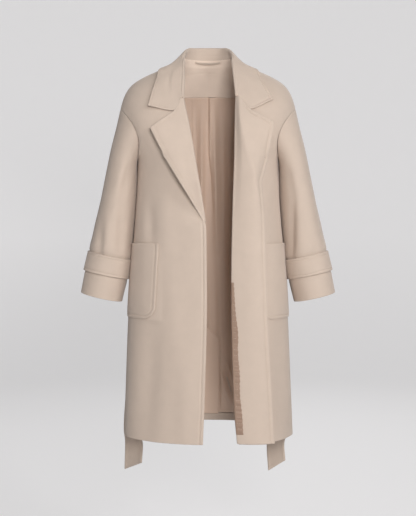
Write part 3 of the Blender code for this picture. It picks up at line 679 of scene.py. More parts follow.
def shell(name, points, towards, wall, finish, wrapped=False, sewn=()):
    """A closed wall of cloth behind a grid of points that faces a given way, or away from its middle.

    A sewn side (low, high, first or last) is pressed flat against its neighbour; the others are rounded.
    """
    rows, columns = points.shape[:2]
    count = rows * columns
    normal, sign = facing_of(points, towards, wrapped)
    wall = np.broadcast_to(wall, (rows, columns))
    closed = np.concatenate([points, points[:, :1]], axis=1) if wrapped else points
    places = np.stack([run_along(closed, 1), run_along(closed, 0)], axis=2)

    i, j = np.meshgrid(np.arange(rows - 1), np.arange(columns if wrapped else columns - 1), indexing="ij")
    corners = [(i, j), (i, j + 1), (i + 1, j + 1), (i + 1, j)]
    face = np.stack([a * columns + b % columns for a, b in corners], axis=-1).reshape(-1, 4)
    face_map = np.stack([places[a, b] for a, b in corners], axis=-2).reshape(-1, 4, 2)
    if sign < 0:
        face, face_map = face[:, ::-1], face_map[:, ::-1]
    vertices = [points.reshape(-1, 3), (points - normal * wall[..., None]).reshape(-1, 3)]
    faces, maps = [face, face[:, ::-1] + count], [face_map, face_map[:, ::-1]]

    across, along = slopes_of(points, wrapped)
    total = 2 * count
    for loop in border_of(rows, columns, wrapped):
        a, b, up, over = np.array(loop).T
        out = unit(up[:, None] * unit(along[a, b]) + over[:, None] * unit(across[a, b]))
        half = wall[a, b][:, None] / 2
        sides = zip(SIDES_OF_GRID, (up < 0, up > 0, over < 0, over > 0))
        pressed = np.any([np.zeros(len(a), bool)] + [here for side, here in sides if side in sewn], axis=0)
        reach = half * np.where(pressed, SEWN_RIM, 1.0)[:, None]
        rings = [a * columns + b]
        for step in range(1, RIM_STEPS):
            turn = math.pi * step / RIM_STEPS
            behind = normal[a, b] * half * (1 - math.cos(turn))
            vertices.append(points[a, b] - behind + out * reach * math.sin(turn))
            rings.append(total + np.arange(len(a)))
            total += len(a)
        rings.append(a * columns + b + count)
        rim_map = places[a, b]
        for outer, inner in zip(rings, rings[1:]):
            quad = np.stack([np.roll(outer, -1), outer, inner, np.roll(inner, -1)], axis=1)
            quad_map = np.stack([np.roll(rim_map, -1, 0), rim_map, rim_map, np.roll(rim_map, -1, 0)], axis=1)
            faces.append(quad if sign > 0 else quad[:, ::-1])
            maps.append(quad_map if sign > 0 else quad_map[:, ::-1])
    return meshed(name, np.concatenate(vertices), np.concatenate(faces), np.concatenate(maps), finish)


def meshed(name, vertices, faces, maps, finish):
    mesh = bpy.data.meshes.new(name)
    mesh.from_pydata(vertices.tolist(), [], faces.tolist())
    mesh.uv_layers.new(name=MAP).data.foreach_set("uv", maps.astype(np.float32).ravel())
    mesh.shade_smooth()
    mesh.materials.append(MATERIALS[finish])
    made = bpy.data.objects.new(name, mesh)
    bpy.context.scene.collection.objects.link(made)
    return made


def make(node, grid, towards, wall, finish="coat_wool", **how):
    """Make a piece of the coat from its grid, and keep it under its node's name."""
    MADE[node] = shell(f"coat_{node}", grid, towards, wall, finish, **how)
    print(node, "grid", grid.shape[:2])


# %% [markdown]
# Grids follow the cloth by distance: a few close columns beside each edge or seam, where stitching and
# seams pull the cloth in, and even columns between them. A crease is a soft trough or ridge beside a short
# line, seen from the front, and broad soft waves break up the flat of a panel.

# %% Laying out grids, creases and waves
def spaced(start, whole, end, count):
    """Marks along a length: close ones at both ends and even ones between."""
    middle = np.linspace(0, 1, count + 2)[1:-1]
    return np.concatenate([start, start[-1] + middle * (whole - start[-1] - end[-1]), whole - end[::-1]])


def levels_of(surface, start, end, step, u=0.5):
    """Shares up a surface whose rows are a step apart, with close rows at both ends."""
    dense = np.linspace(0, 1, 400)
    line = surface(np.full(400, u), dense)
    run = run_of(line)
    return np.interp(spaced(start, run[-1], end, int(run[-1] / step)), run, dense)


def laid_out(surface, levels, start, end, count, inset=None):
    """Shares across and along a surface for a grid of rows, and each point's distance from both edges."""
    dense = np.linspace(0, 1, 161)
    across, near, far = [], [], []
    for k, v in enumerate(levels):
        line = surface(dense, np.full(len(dense), v))
        run = run_of(line)
        begin = start + (0.0 if inset is None else inset[k])
        marks = spaced(begin, run[-1], end, count)
        across.append(np.interp(marks, run, dense))
        near.append(marks)
        far.append(run[-1] - marks)
    across = np.array(across)
    return across, np.repeat(levels[:, None], across.shape[1], axis=1), np.array(near), np.array(far)


def gridded(function, u, v, *more):
    """A function of flat arrays, used on a grid."""
    made = function(u.ravel(), v.ravel(), *(np.broadcast_to(m, u.shape).ravel() for m in more))
    return made.reshape(*u.shape, -1)


def bell(distance, width):
    return np.exp(-((distance / width) ** 2))


def smooth(value, low, high):
    t = np.clip((value - low) / (high - low), 0, 1)
    return t * t * (3 - 2 * t)


Fold = namedtuple("Fold", "x_top z_top x_low z_low width depth")


def folded(points, folds):
    """How far creases move each point out; each fades towards both ends of its line."""
    lift = np.zeros(points.shape[:2])
    seen = points[..., [0, 2]]
    for f in folds:
        start, way = np.array([f.x_top, f.z_top]), np.array([f.x_low - f.x_top, f.z_low - f.z_top])
        t = np.clip(((seen - start) @ way) / (way @ way), 0, 1)
        off = np.linalg.norm(seen - start - t[..., None] * way, axis=-1)
        fade = np.sin(math.pi * (FOLD_START + FOLD_SPAN * t))
        lift += f.depth * bell(off, f.width) * fade
    return lift


Wave = namedtuple("Wave", "height per_metre_along per_metre_up phase")


def waved(along, up, waves):
    """Broad soft waves over a panel, by the distance along it and the height."""
    turns = [w.per_metre_along * along + w.per_metre_up * up + w.phase for w in waves]
    return sum(w.height * np.sin(math.tau * turn) for w, turn in zip(waves, turns))


def lifted(points, towards, lift, wrapped=False):
    """A grid moved out along its own normals."""
    return points + facing_of(points, towards, wrapped)[0] * lift[..., None]


CLOTH, DOUBLED_CLOTH, LINING = 0.0024, 0.0044, 0.0010
SEAM_MARKS = np.array([0.2, 1.6, 3.4, 6.0, 9.5]) / 1000
HEM_MARKS = np.array([1.3, 2.6, 4.5, 7.5]) / 1000
EDGE_MARKS = np.array([1.3, 2.4, 3.7, 5.0, 6.3, 7.5, 8.7, 10.0, 11.3, 12.7, 14.5, 17.0]) / 1000
STITCH_COLUMN = 7
EDGE_STITCH = EDGE_MARKS[STITCH_COLUMN]
STITCH_DEPTH, STITCH_WIDTH = 0.0014, 0.0024
SEAM_DIP, SEAM_WIDTH = 0.0007, 0.0030
SWELL, SWELL_PLACE, SWELL_WIDTH = 0.0005, 0.0045, 0.0035
CALM_REACH, CHEST_CALM, CHEST_HEIGHTS = 0.04, 0.65, (-0.9, -0.35)
FOLD_START, FOLD_SPAN = 0.02, 0.84


def seam_tuck(distance):
    """Cloth dips a little where it is sewn to its neighbour and pressed."""
    return -SEAM_DIP * bell(distance, SEAM_WIDTH)


def stitch_groove(distance):
    """A row of stitching pulls a groove, and the cloth swells between it and the edge."""
    swell = SWELL * bell(distance - SWELL_PLACE, SWELL_WIDTH)
    return swell - STITCH_DEPTH * bell(distance - EDGE_STITCH, STITCH_WIDTH)


def calm_of(near, far, height, near_reach):
    """Waves die out towards the edges of a panel, and they are weaker at the chest."""
    chest = 1 - CHEST_CALM * smooth(height, *CHEST_HEIGHTS)
    return smooth(near, 0.0, near_reach) * smooth(far, 0.0, CALM_REACH) * chest


print("edge stitching:", EDGE_STITCH, "m in")

# %% [markdown]
# The fronts hang from the shoulder to the hem. The right one has a free edge with a row of stitching
# below the break of its lapel; above it, and all the way up the left one, the edge turns back into the
# lapel, so the front stops a little short of the fold there. Soft creases stand above the pockets.

# %% Fronts
ROLL_RADIUS, ROLL_CLEARANCE = 0.0040, 0.0002
BREAK_LOW, BREAK_HIGH = -0.474, -0.448
PANEL_STEP, FRONT_COLUMNS, FRONT_CALM = 0.0055, 58, 0.05
EASE_ROWS, EASE_LOW, EASE_HIGH, EASE_EDGE = 14, (-0.42, -0.34), (-0.25, -0.17), (0.004, 0.030)
EDGE_LIFT, EDGE_LIFT_REACH = 0.009, 0.085
FRONT_FOLDS = {
    "right": (
        Fold(-0.160, -0.395, -0.155, -0.532, 0.013, -0.0036),
        Fold(-0.184, -0.380, -0.180, -0.520, 0.020, 0.0026),
        Fold(-0.122, -0.350, -0.120, -0.520, 0.024, 0.0030),
        Fold(-0.095, -0.620, -0.060, -1.050, 0.030, 0.0034),
        Fold(-0.150, -0.740, -0.165, -1.055, 0.026, -0.0040),
        Fold(-0.020, -0.500, -0.055, -0.760, 0.026, -0.0024),
    ),
    "left": (
        Fold(0.183, -0.360, 0.186, -0.515, 0.016, -0.0028),
        Fold(0.190, -0.740, 0.205, -1.055, 0.020, -0.0036),
        Fold(0.120, -0.620, 0.150, -1.050, 0.032, 0.0022),
    ),
}
POCKET_TOP, POCKET_BOTTOM = -0.522, -0.729
POCKET_INNER_TOP, POCKET_INNER_BOTTOM = 0.1335, 0.1450
POCKET_FADE, POCKET_TOP_FADE = 0.012, 0.010
PANEL_WAVES = (Wave(0.0016, 6.1, 0.35, 0.15), Wave(0.0010, 2.9, -1.10, 0.40), Wave(0.0006, 11.0, 0.9, 0.70))


def under_lapel(name, height):
    """How far the front stops short of its fold at each height."""
    turned = np.ones(len(height)) if name == "left" else smooth(height, BREAK_LOW, BREAK_HIGH)
    return (ROLL_RADIUS + ROLL_CLEARANCE) * turned


def under_pocket(points):
    """1 where the pocket holds the front flat, fading to 0 round it."""
    out, height = np.abs(points[..., 0]), points[..., 2]
    above = smooth(height, POCKET_BOTTOM - POCKET_FADE, POCKET_BOTTOM)
    below = 1 - smooth(height, POCKET_TOP - POCKET_TOP_FADE, POCKET_TOP)
    return above * below * smooth(out, POCKET_INNER_TOP - POCKET_FADE, POCKET_INNER_TOP)


def eased(points, far):
    """Smooth the turn from the side of the body into the armhole, away from the seams."""
    reach = np.arange(-EASE_ROWS, EASE_ROWS + 1)
    weights = bell(reach, EASE_ROWS / 2)
    padded = np.pad(points, ((EASE_ROWS, EASE_ROWS), (0, 0), (0, 0)), mode="edge")
    rows = len(points)
    even = sum(w * padded[k : k + rows] for k, w in enumerate(weights)) / weights.sum()
    height = points[..., 2]
    share = smooth(height, *EASE_LOW) * (1 - smooth(height, *EASE_HIGH)) * smooth(far, *EASE_EDGE)
    return points + share[..., None] * (even - points)


def front_points(name):
    surface = FRONTS[name]
    levels = levels_of(surface, HEM_MARKS, SEAM_MARKS, PANEL_STEP)
    height = surface(np.zeros(len(levels)), levels)[:, 2]
    inset = under_lapel(name, height)
    u, v, near, far = laid_out(surface, levels, EDGE_MARKS, SEAM_MARKS, FRONT_COLUMNS, inset)
    points = eased(gridded(surface, u, v), far)
    free = 1 - smooth(points[..., 2], BREAK_LOW, BREAK_HIGH) if name == "right" else np.zeros(near.shape)
    calm = calm_of(near, far, points[..., 2], FRONT_CALM)
    lift = waved(near, points[..., 2], PANEL_WAVES) * calm + folded(points, FRONT_FOLDS[name])
    lift *= 1 - under_pocket(points)
    edge_roll = EDGE_LIFT * (1 - smooth(near, 0.0, EDGE_LIFT_REACH))
    lift += seam_tuck(far) + free * (stitch_groove(near) + edge_roll)
    lift += seam_tuck(1.0 - v) * smooth(v, 0.9, 1.0)
    return lifted(points, FRONT_WAY, lift)


FRONT_GRIDS = {name: front_points(name) for name in SIDES}
for name, grid in FRONT_GRIDS.items():
    make(f"front_{name}", grid, FRONT_WAY, CLOTH, sewn=("high", "last"))

# %% [markdown]
# The backs are two mirrored panels that meet in a seam down the middle, which opens into a vent near the
# hem. The belt draws them in a little, so soft creases fan out above and below it.

# %% Backs
BACK_COLUMNS = 62
BACK_FOLDS = (
    Fold(0.060, -0.330, 0.085, -0.430, 0.020, -0.0034),
    Fold(0.130, -0.300, 0.120, -0.430, 0.022, 0.0030),
    Fold(0.170, -0.260, 0.185, -0.400, 0.018, -0.0044),
    Fold(0.045, -0.470, 0.030, -0.640, 0.022, -0.0034),
    Fold(0.095, -0.470, 0.110, -0.700, 0.026, 0.0040),
    Fold(0.140, -0.480, 0.160, -0.720, 0.022, -0.0036),
    Fold(0.120, -0.760, 0.135, -1.055, 0.030, 0.0036),
    Fold(0.175, -0.740, 0.190, -1.055, 0.024, -0.0036),
    Fold(0.060, -0.760, 0.070, -1.055, 0.028, -0.0030),
)
BACK_UNEVEN = {"right": 1.0, "left": 0.72}
VENT_HEIGHT, VENT_FADE = -0.783, 0.01
VENT_TUCK, SEWN_TUCK = 0.3, 0.9


def back_points(name):
    surface = BACKS[name]
    levels = levels_of(surface, HEM_MARKS, SEAM_MARKS, PANEL_STEP)
    u, v, near, far = laid_out(surface, levels, SEAM_MARKS, SEAM_MARKS, BACK_COLUMNS)
    points = eased(gridded(surface, u, v), far)
    height = points[..., 2]
    creases = BACK_UNEVEN[name] * folded(points * mirror_of(SIDES[name]), BACK_FOLDS)
    lift = (waved(near, height, PANEL_WAVES) + creases) * calm_of(near, far, height, CALM_REACH)
    sewn = smooth(height, VENT_HEIGHT - VENT_FADE, VENT_HEIGHT + VENT_FADE)
    lift += seam_tuck(far) + seam_tuck(near) * (VENT_TUCK + SEWN_TUCK * sewn)
    return lifted(points, BACK_WAY, lift)


BACK_GRIDS = {name: back_points(name) for name in SIDES}
for name, grid in BACK_GRIDS.items():
    make(f"back_{name}", grid, BACK_WAY, CLOTH, sewn=("high", "first", "last"))

# %% [markdown]
# A sleeve is a wide tube from a dropped armhole to the cuff. The strap round the cuff draws it in, so the
# cloth blouses above the strap and breaks into short creases there. The underarm is creased too.

# %% Sleeves
SLEEVE_STEP, SLEEVE_COLUMNS, SLEEVE_GIRTH = 0.0052, 92, 0.42
STRAP_START, STRAP_END = 0.747, 0.863
BACK_HALF = (0.0, 0.03)
WAVES_START, WAVES_END = (0.02, 0.2), (0.70, 0.78)
BLOUSE, BLOUSE_PLACE, BLOUSE_WIDTH = 0.0012, STRAP_START - 0.035, 0.030
PINCH, PINCH_WIDTH = 0.0016, 0.010
GRIP, GRIP_START, GRIP_END = 0.0012, (STRAP_START - 0.01, STRAP_START), (STRAP_END, STRAP_END + 0.02)
SLEEVE_SEAM, SLEEVE_SEAM_SHARE = 0.0010, 0.007
SLEEVE_FOLDS = {
    "right": (
        Fold(-0.2960, -0.470, -0.3030, -0.566, 0.0095, -0.0038),
        Fold(-0.2780, -0.440, -0.2830, -0.555, 0.013, 0.0032),
        Fold(-0.3130, -0.430, -0.3230, -0.550, 0.011, 0.0022),
        Fold(-0.2400, -0.400, -0.2460, -0.560, 0.012, -0.0056),
        Fold(-0.2180, -0.300, -0.2380, -0.400, 0.011, -0.0040),
        Fold(-0.2300, -0.290, -0.2560, -0.380, 0.012, 0.0026),
    ),
    "left": (
        Fold(0.2360, -0.390, 0.2330, -0.575, 0.0105, -0.0092),
        Fold(0.2560, -0.400, 0.2540, -0.560, 0.016, 0.0034),
        Fold(0.2960, -0.520, 0.3000, -0.555, 0.009, -0.0036),
        Fold(0.2180, -0.300, 0.2360, -0.400, 0.011, -0.0034),
        Fold(0.2820, -0.360, 0.2960, -0.520, 0.020, 0.0022),
    ),
}
SLEEVE_WAVES = (Wave(0.0012, 7.0, 1.2, 0.20), Wave(0.0008, 4.0, -2.3, 0.60))


def round_shares(count):
    """Shares once round a sleeve; the grid closes on the inner side, where its seam is."""
    return (np.arange(count) / count + 0.5) % 1.0


def sleeve_points(name):
    surface = SLEEVES[name]
    levels = levels_of(surface, SEAM_MARKS, HEM_MARKS, SLEEVE_STEP, u=0.25)
    u, v = np.meshgrid(round_shares(SLEEVE_COLUMNS), levels)
    points = gridded(surface, u, v)
    other = "left" if name == "right" else "right"
    behind = smooth(points[..., 1], *BACK_HALF)
    lift = folded(points, SLEEVE_FOLDS[name]) * (1 - behind)
    lift += folded(points * mirror_of(RIGHT), SLEEVE_FOLDS[other]) * behind
    calm = smooth(v, *WAVES_START) * (1 - smooth(v, *WAVES_END))
    lift += waved(SLEEVE_GIRTH * u, points[..., 2], SLEEVE_WAVES) * calm
    lift += BLOUSE * bell(v - BLOUSE_PLACE, BLOUSE_WIDTH) - PINCH * bell(v - STRAP_START, PINCH_WIDTH)
    lift -= GRIP * smooth(v, *GRIP_START) * (1 - smooth(v, *GRIP_END))
    lift += seam_tuck(run_along(points, 0)) - SLEEVE_SEAM * bell(u - 0.5, SLEEVE_SEAM_SHARE)
    return lifted(points, None, lift, wrapped=True)


SLEEVE_GRIDS = {name: sleeve_points(name) for name in SIDES}
for name, grid in SLEEVE_GRIDS.items():
    make(f"sleeve_{name}", grid, None, CLOTH, wrapped=True, sewn=("low",))

# %% [markdown]
# The cuff strap is a doubled band sewn round the sleeve. It stands a little proud, its lower edge more
# than its upper one, and it is stitched near both edges.

# %% Cuff straps
STRAP_WALL, STRAP_EASE, STRAP_INSET = 0.0030, 0.0002, 0.003
STRAP_TOP = np.array([0, 0.02, 0.045, 0.08, 0.105, 0.13, 0.17, 0.25, 0.36])
STRAP_LOW = np.array([0.5, 0.64, 0.75, 0.83, 0.87, 0.895, 0.92, 0.955, 0.98, 1.0])
STRAP_LEVELS = np.concatenate([STRAP_TOP, STRAP_LOW])
STRAP_STITCHES, STRAP_DIP, STRAP_DIP_WIDTH = (4, 14), 0.0008, 0.030
STRAP_FLARE, STRAP_WAVE, STRAP_COLUMNS = 0.0014, 0.0007, 120


def strap_points(name):
    surface = SLEEVES[name]
    share = STRAP_START + STRAP_INSET + STRAP_LEVELS * (STRAP_END - STRAP_START - 2 * STRAP_INSET)
    u, v = np.meshgrid(round_shares(STRAP_COLUMNS), share)
    inside = np.repeat(STRAP_LEVELS[:, None], STRAP_COLUMNS, axis=1)
    points = gridded(lambda a, b: moved_out(surface, a, b, STRAP_EASE + STRAP_WALL), u, v)
    lift = STRAP_FLARE * inside**2 + STRAP_WAVE * np.sin(math.tau * (2 * u + 0.1)) * inside
    for k in STRAP_STITCHES:
        lift -= STRAP_DIP * bell(inside - STRAP_LEVELS[k], STRAP_DIP_WIDTH)
    return lifted(points, None, lift, wrapped=True)


STRAP_GRIDS = {name: strap_points(name) for name in SIDES}
for name, grid in STRAP_GRIDS.items():
    make(f"cuff_strap_{name}", grid, None, STRAP_WALL, wrapped=True)

# %% [markdown]
# The lapel and the left front's facing are the doubled edge of a front, turned back so that it lies on
# that front. Cloth never folds to a knife edge: each row of the grid starts inside the front, goes round a
# small roll and then lies over the front up to the free edge, which stands a little further off. The left
# one keeps a soft ridge where its lapel is used to rolling.

# %% Lapel and facing: the cut
Turned = namedtuple("Turned", "roll_z edge_out edge_z")
TURNED = {
    "right": (
        Turned(-0.1080, 0.1522, -0.2069),
        Turned(-0.2800, 0.0960, -0.3100),
        Turned(-0.4640, 0.0110, -0.4630),
    ),
    "left": (
        Turned(-0.1040, 0.1767, -0.1904),
        Turned(-0.2450, 0.1582, -0.2700),
        Turned(-0.3450, 0.1360, -0.3580),
        Turned(-0.4450, 0.1430, -0.4480),
        Turned(-0.7180, 0.1475, -0.7184),
        Turned(-1.0575, 0.1665, -1.0590),
    ),
}
Notch = namedtuple("Notch", "share drop fade")
NOTCHES = {"right": Notch(0.32, 0.0221, 0.16), "left": Notch(0.42, 0.0172, 0.08)}
EDGE_RISES = {
    "right": ((-0.47, 0.006), (-0.41, 0.027), (-0.34, 0.026), (-0.21, 0.016), (-0.10, 0.004)),
    "left": ((-1.06, 0.020), (-0.72, 0.026), (-0.45, 0.022), (-0.25, 0.012), (-0.10, 0.004)),
}
RISE_POWER = {"right": 1.6, "left": 1.1}
NARROW, LEAST_SHRINK, TURNED_SAMPLES = 0.045, 0.36, 41
ROLL_TURN = np.radians(np.linspace(180, 0, 10))[:-1]
ROLL_MARKS = np.array([1.0, 1.25, 1.6, 2.1, 2.8]) * ROLL_RADIUS
TURNED_COLUMNS = 22
TURNED_STEP = 0.0052


def edge_marks_of(name):
    """Shares down the free edge, and its length."""
    rows = TURNED[name]
    steps = [math.hypot(b.edge_out - a.edge_out, b.edge_z - a.edge_z) for a, b in zip(rows, rows[1:])]
    marks = np.cumsum([0.0] + steps)
    return marks / marks[-1], marks[-1]


def turned_line(name, down, share):
    """Shares of the front under a turned-back edge, for shares down it and across it from its roll."""
    rows, panel, notch = TURNED[name], FRONTS[name], NOTCHES[name]
    marks, _ = edge_marks_of(name)
    roll_z, edge_out, edge_z = (np.interp(down, marks, values) for values in zip(*rows))
    start = np.zeros(len(down))
    roll = panel(start, share_at_height(panel, start, roll_z))
    x = roll[:, 0] + share * (SIDES[name] * edge_out - roll[:, 0])
    dip = np.minimum(share / notch.share, (1 - share) / (1 - notch.share))
    dip *= np.clip(1 - down / notch.fade, 0, 1)
    return shares_at(panel, x, roll[:, 2] + share * (edge_z - roll[:, 2]) - notch.drop * dip)


# %% Lapel and facing: rolling a row
def turned_rows(name, down, count):
    """For each row: the front's shares at marks from the roll to the free edge, and those distances."""
    panel, dense = FRONTS[name], np.linspace(0, 1, TURNED_SAMPLES)
    shares = turned_line(name, np.repeat(down, TURNED_SAMPLES), np.tile(dense, len(down)))
    across, level = (share.reshape(-1, TURNED_SAMPLES) for share in shares)
    across[:, 0] = 0
    made = []
    for a, b in zip(across, level):
        line = panel(a, b)
        run = run_of(line)
        shrink = min(1.0, run[-1] / NARROW)
        marks = shrink * spaced(ROLL_MARKS, run[-1] / shrink, EDGE_MARKS, count)
        made.append((np.interp(marks, run, a), np.interp(marks, run, b), marks, run[-1] - marks, shrink))
    u, v, near, far, shrink = (np.array(column) for column in zip(*made))
    return u, v, near, far, np.maximum(shrink, LEAST_SHRINK)


def rolled_grid(name, down, count, extra):
    """A turned-back edge with its roll: the points, and the distances from roll and free edge."""
    panel = FRONTS[name]
    u, v, near, far, shrink = turned_rows(name, down, count)
    radius = ROLL_RADIUS * shrink
    top = 2 * radius - CLOTH
    base = gridded(panel, u, v)
    rise = np.interp(base[..., 2], *zip(*EDGE_RISES[name]))
    rise = rise * np.sin(math.pi / 2 * near / (near + far)) ** RISE_POWER[name]
    lift = top[:, None] + rise * shrink[:, None] + extra(base, near, far)
    flat = base + gridded(lambda a, b: outward_of(panel, a, b), u, v) * lift[..., None]
    start = np.zeros(len(down))
    roll_v = v[:, 0]
    roll = panel(start, roll_v)
    out = outward_of(panel, start + 1e-3, roll_v)
    inward = unit(base[:, 0] - roll)
    turn = ROLL_TURN[None, :, None]
    middle = roll + inward * radius[:, None] + out * (top - radius)[:, None]
    bend = np.cos(turn) * out[:, None] - np.sin(turn) * inward[:, None]
    rolled = middle[:, None] + radius[:, None, None] * bend
    rolled += out[:, None] * ((lift[:, :1] - top[:, None]) * (1 - ROLL_TURN / math.pi))[..., None]
    ahead = np.zeros((len(down), len(ROLL_TURN)))
    return np.concatenate([rolled, flat], axis=1), np.hstack([ahead, near]), np.hstack([ahead + 1, far])


# %% Lapel and facing: making both
Ridge = namedtuple("Ridge", "z x height")
LEFT_RIDGE = (
    Ridge(-0.090, 0.078, 0.0020),
    Ridge(-0.200, 0.092, 0.0130),
    Ridge(-0.285, 0.104, 0.0180),
    Ridge(-0.360, 0.121, 0.0180),
    Ridge(-0.430, 0.136, 0.0130),
    Ridge(-0.500, 0.140, 0.0036),
    Ridge(-0.640, 0.130, 0.0012),
    Ridge(-1.060, 0.130, 0.0006),
)
RIDGE_WIDTH, RIDGE_ROUND = 0.030, 0.004
RIDGE_NEAR, RIDGE_FAR = (0.0, 0.02), (-0.004, 0.03)
LAPEL_WAVES = (Wave(0.0010, 9.0, 1.1, 0.30), Wave(0.0007, 4.0, -2.6, 0.10))
LAPEL_CALM = (0.0, 0.03)
DOUBLED_FROM, WALL_SHARE = (0.006, 0.016), 0.55
GROOVES = {"right": 0.25, "left": 1.0}
SIDE_ROW, TOP_ROW_FAR, TOP_ROW_NEAR = (0.012, 0.020), (0.006, 0.012), (0.030, 0.045)


def edge_dips(near, far, top):
    """Stitching beside the free edge and the lapel's top edge."""
    side_row = stitch_groove(far) * smooth(near, *SIDE_ROW)
    return side_row + stitch_groove(top) * smooth(far, *TOP_ROW_FAR) * smooth(near, *TOP_ROW_NEAR)


def ridge_lift(points):
    """The soft ridge of the left lapel's old roll, beside a line given by its heights."""
    z, x, tall = (values[::-1] for values in zip(*LEFT_RIDGE))
    off = points[..., 0] - np.interp(points[..., 2], z, x)
    return np.interp(points[..., 2], z, tall) * np.exp(-np.sqrt(off**2 + RIDGE_ROUND**2) / RIDGE_WIDTH)


def turned_extra(name):
    def extra(base, near, far):
        lift = waved(near, base[..., 2], LAPEL_WAVES) * smooth(near, *LAPEL_CALM)
        lift = lift + GROOVES[name] * edge_dips(near, far, run_along(base, 0))
        if name == "left":
            lift += ridge_lift(base) * smooth(near, *RIDGE_NEAR) * smooth(far, *RIDGE_FAR)
        return lift

    return extra


def turned_down(name, end):
    _, length = edge_marks_of(name)
    return spaced(EDGE_MARKS, length, end, int(length / TURNED_STEP)) / length


TURNED_GRIDS = {}
for name, node in (("right", "lapel_right"), ("left", "facing_left")):
    grid, near, _ = rolled_grid(name, turned_down(name, HEM_MARKS), TURNED_COLUMNS, turned_extra(name))
    TURNED_GRIDS[name] = grid
    wall = CLOTH + (DOUBLED_CLOTH - CLOTH) * smooth(near, *DOUBLED_FROM)
    wall = np.minimum(wall, WALL_SHARE * near.max(axis=1, keepdims=True))
    make(node, grid, FRONT_WAY, wall)

# %% [markdown]
# Low on the left front, a strip of the lining shows beside the fold. It is thin, so it puckers along the
# seam that holds it to the facing. It follows the same roll, one lining's thickness further out.

# %% Lining strip
STRIP_FROM, STRIP_TO = 0.506, 0.971
STRIP_LOW, STRIP_HIGH = 0.0188, 0.0125
STRIP_MARKS, STRIP_STEP, STRIP_EASE = np.linspace(0, 1, 12), 0.0030, 0.0004
STRIP_SPREAD, STRIP_NARROW, STRIP_FULL = 0.8, 0.50, 0.34
PUCKER, PUCKER_PITCH, PUCKER_DRIFT, PUCKER_FROM = 0.0011, 0.017, 41, (0.004, 0.012)
EDGE_DRIFT, EDGE_DRIFT_PITCH, EDGE_RIPPLE, EDGE_RIPPLE_PITCH = 0.0010, 0.11, 0.0006, 0.013


def strip_points():
    _, length = edge_marks_of("left")
    down = np.linspace(STRIP_FROM, STRIP_TO, int((STRIP_TO - STRIP_FROM) * length / STRIP_STEP))
    share = (down - STRIP_FROM) / (STRIP_TO - STRIP_FROM)
    pucker = PUCKER * np.sin(math.tau * (down * length / PUCKER_PITCH + 0.8 * np.sin(down * PUCKER_DRIFT)))

    def extra(base, near, far):
        return LINING + STRIP_EASE + pucker[:, None] * smooth(near, *PUCKER_FROM)

    grid, near, _ = rolled_grid("left", down, TURNED_COLUMNS, extra)
    turn = math.tau * down * length
    width = STRIP_HIGH + (STRIP_LOW - STRIP_HIGH) * share**STRIP_SPREAD
    width += EDGE_DRIFT * np.sin(turn / EDGE_DRIFT_PITCH)
    width *= STRIP_NARROW + (1 - STRIP_NARROW) * smooth(share, 0.0, STRIP_FULL)
    width += EDGE_RIPPLE * np.sin(turn / EDGE_RIPPLE_PITCH)
    rolled = len(ROLL_TURN)
    rows = []
    for row, distance, w in zip(grid, near, width):
        marks = distance[rolled] + STRIP_MARKS * (w - distance[rolled])
        flat = picked(marks, distance[rolled:], row[rolled:])
        rows.append(np.concatenate([row[2:rolled], flat]))
    return np.array(rows)


strip = strip_points()
# the strip's colour is the lining painted darker, as painted shade beside the fold
make("lining_strip_left", strip, FRONT_WAY, LINING, "lining_painted_shade")

# %% [markdown]
# The patch pockets are sewn on round their sides and their rounded bottom, with one row of stitching
# inside the edge. The row pulls the cloth in, and the free top edge stands a little away from the front.

# %% Pockets
PATCH_EASE = 0.0009
POCKET_REACH, POCKET_CORNER, POCKET_ROUND, POCKET_CORNER_TURN = 0.965, 0.16, 0.27, 0.97
POCKET_SEAM, POCKET_GROOVE, POCKET_GROOVE_WIDTH = 0.0090, 0.0013, 0.0021
POCKET_CROWN, CROWN_FROM = 0.0012, (0.012, 0.05)
POCKET_GAPE = {"right": 0.0030, "left": 0.0012}
POCKET_COLUMNS, POCKET_ROWS, POCKET_EDGE, POCKET_END = 66, 88, 0.008, 0.004
GAPE_FROM, TOP_SWELL, TOP_SWELL_WIDTH = 0.80, 0.0010, 0.007
RIM_SWELL, RIM_PLACE, RIM_WIDTH = 0.0005, 0.004, 0.003


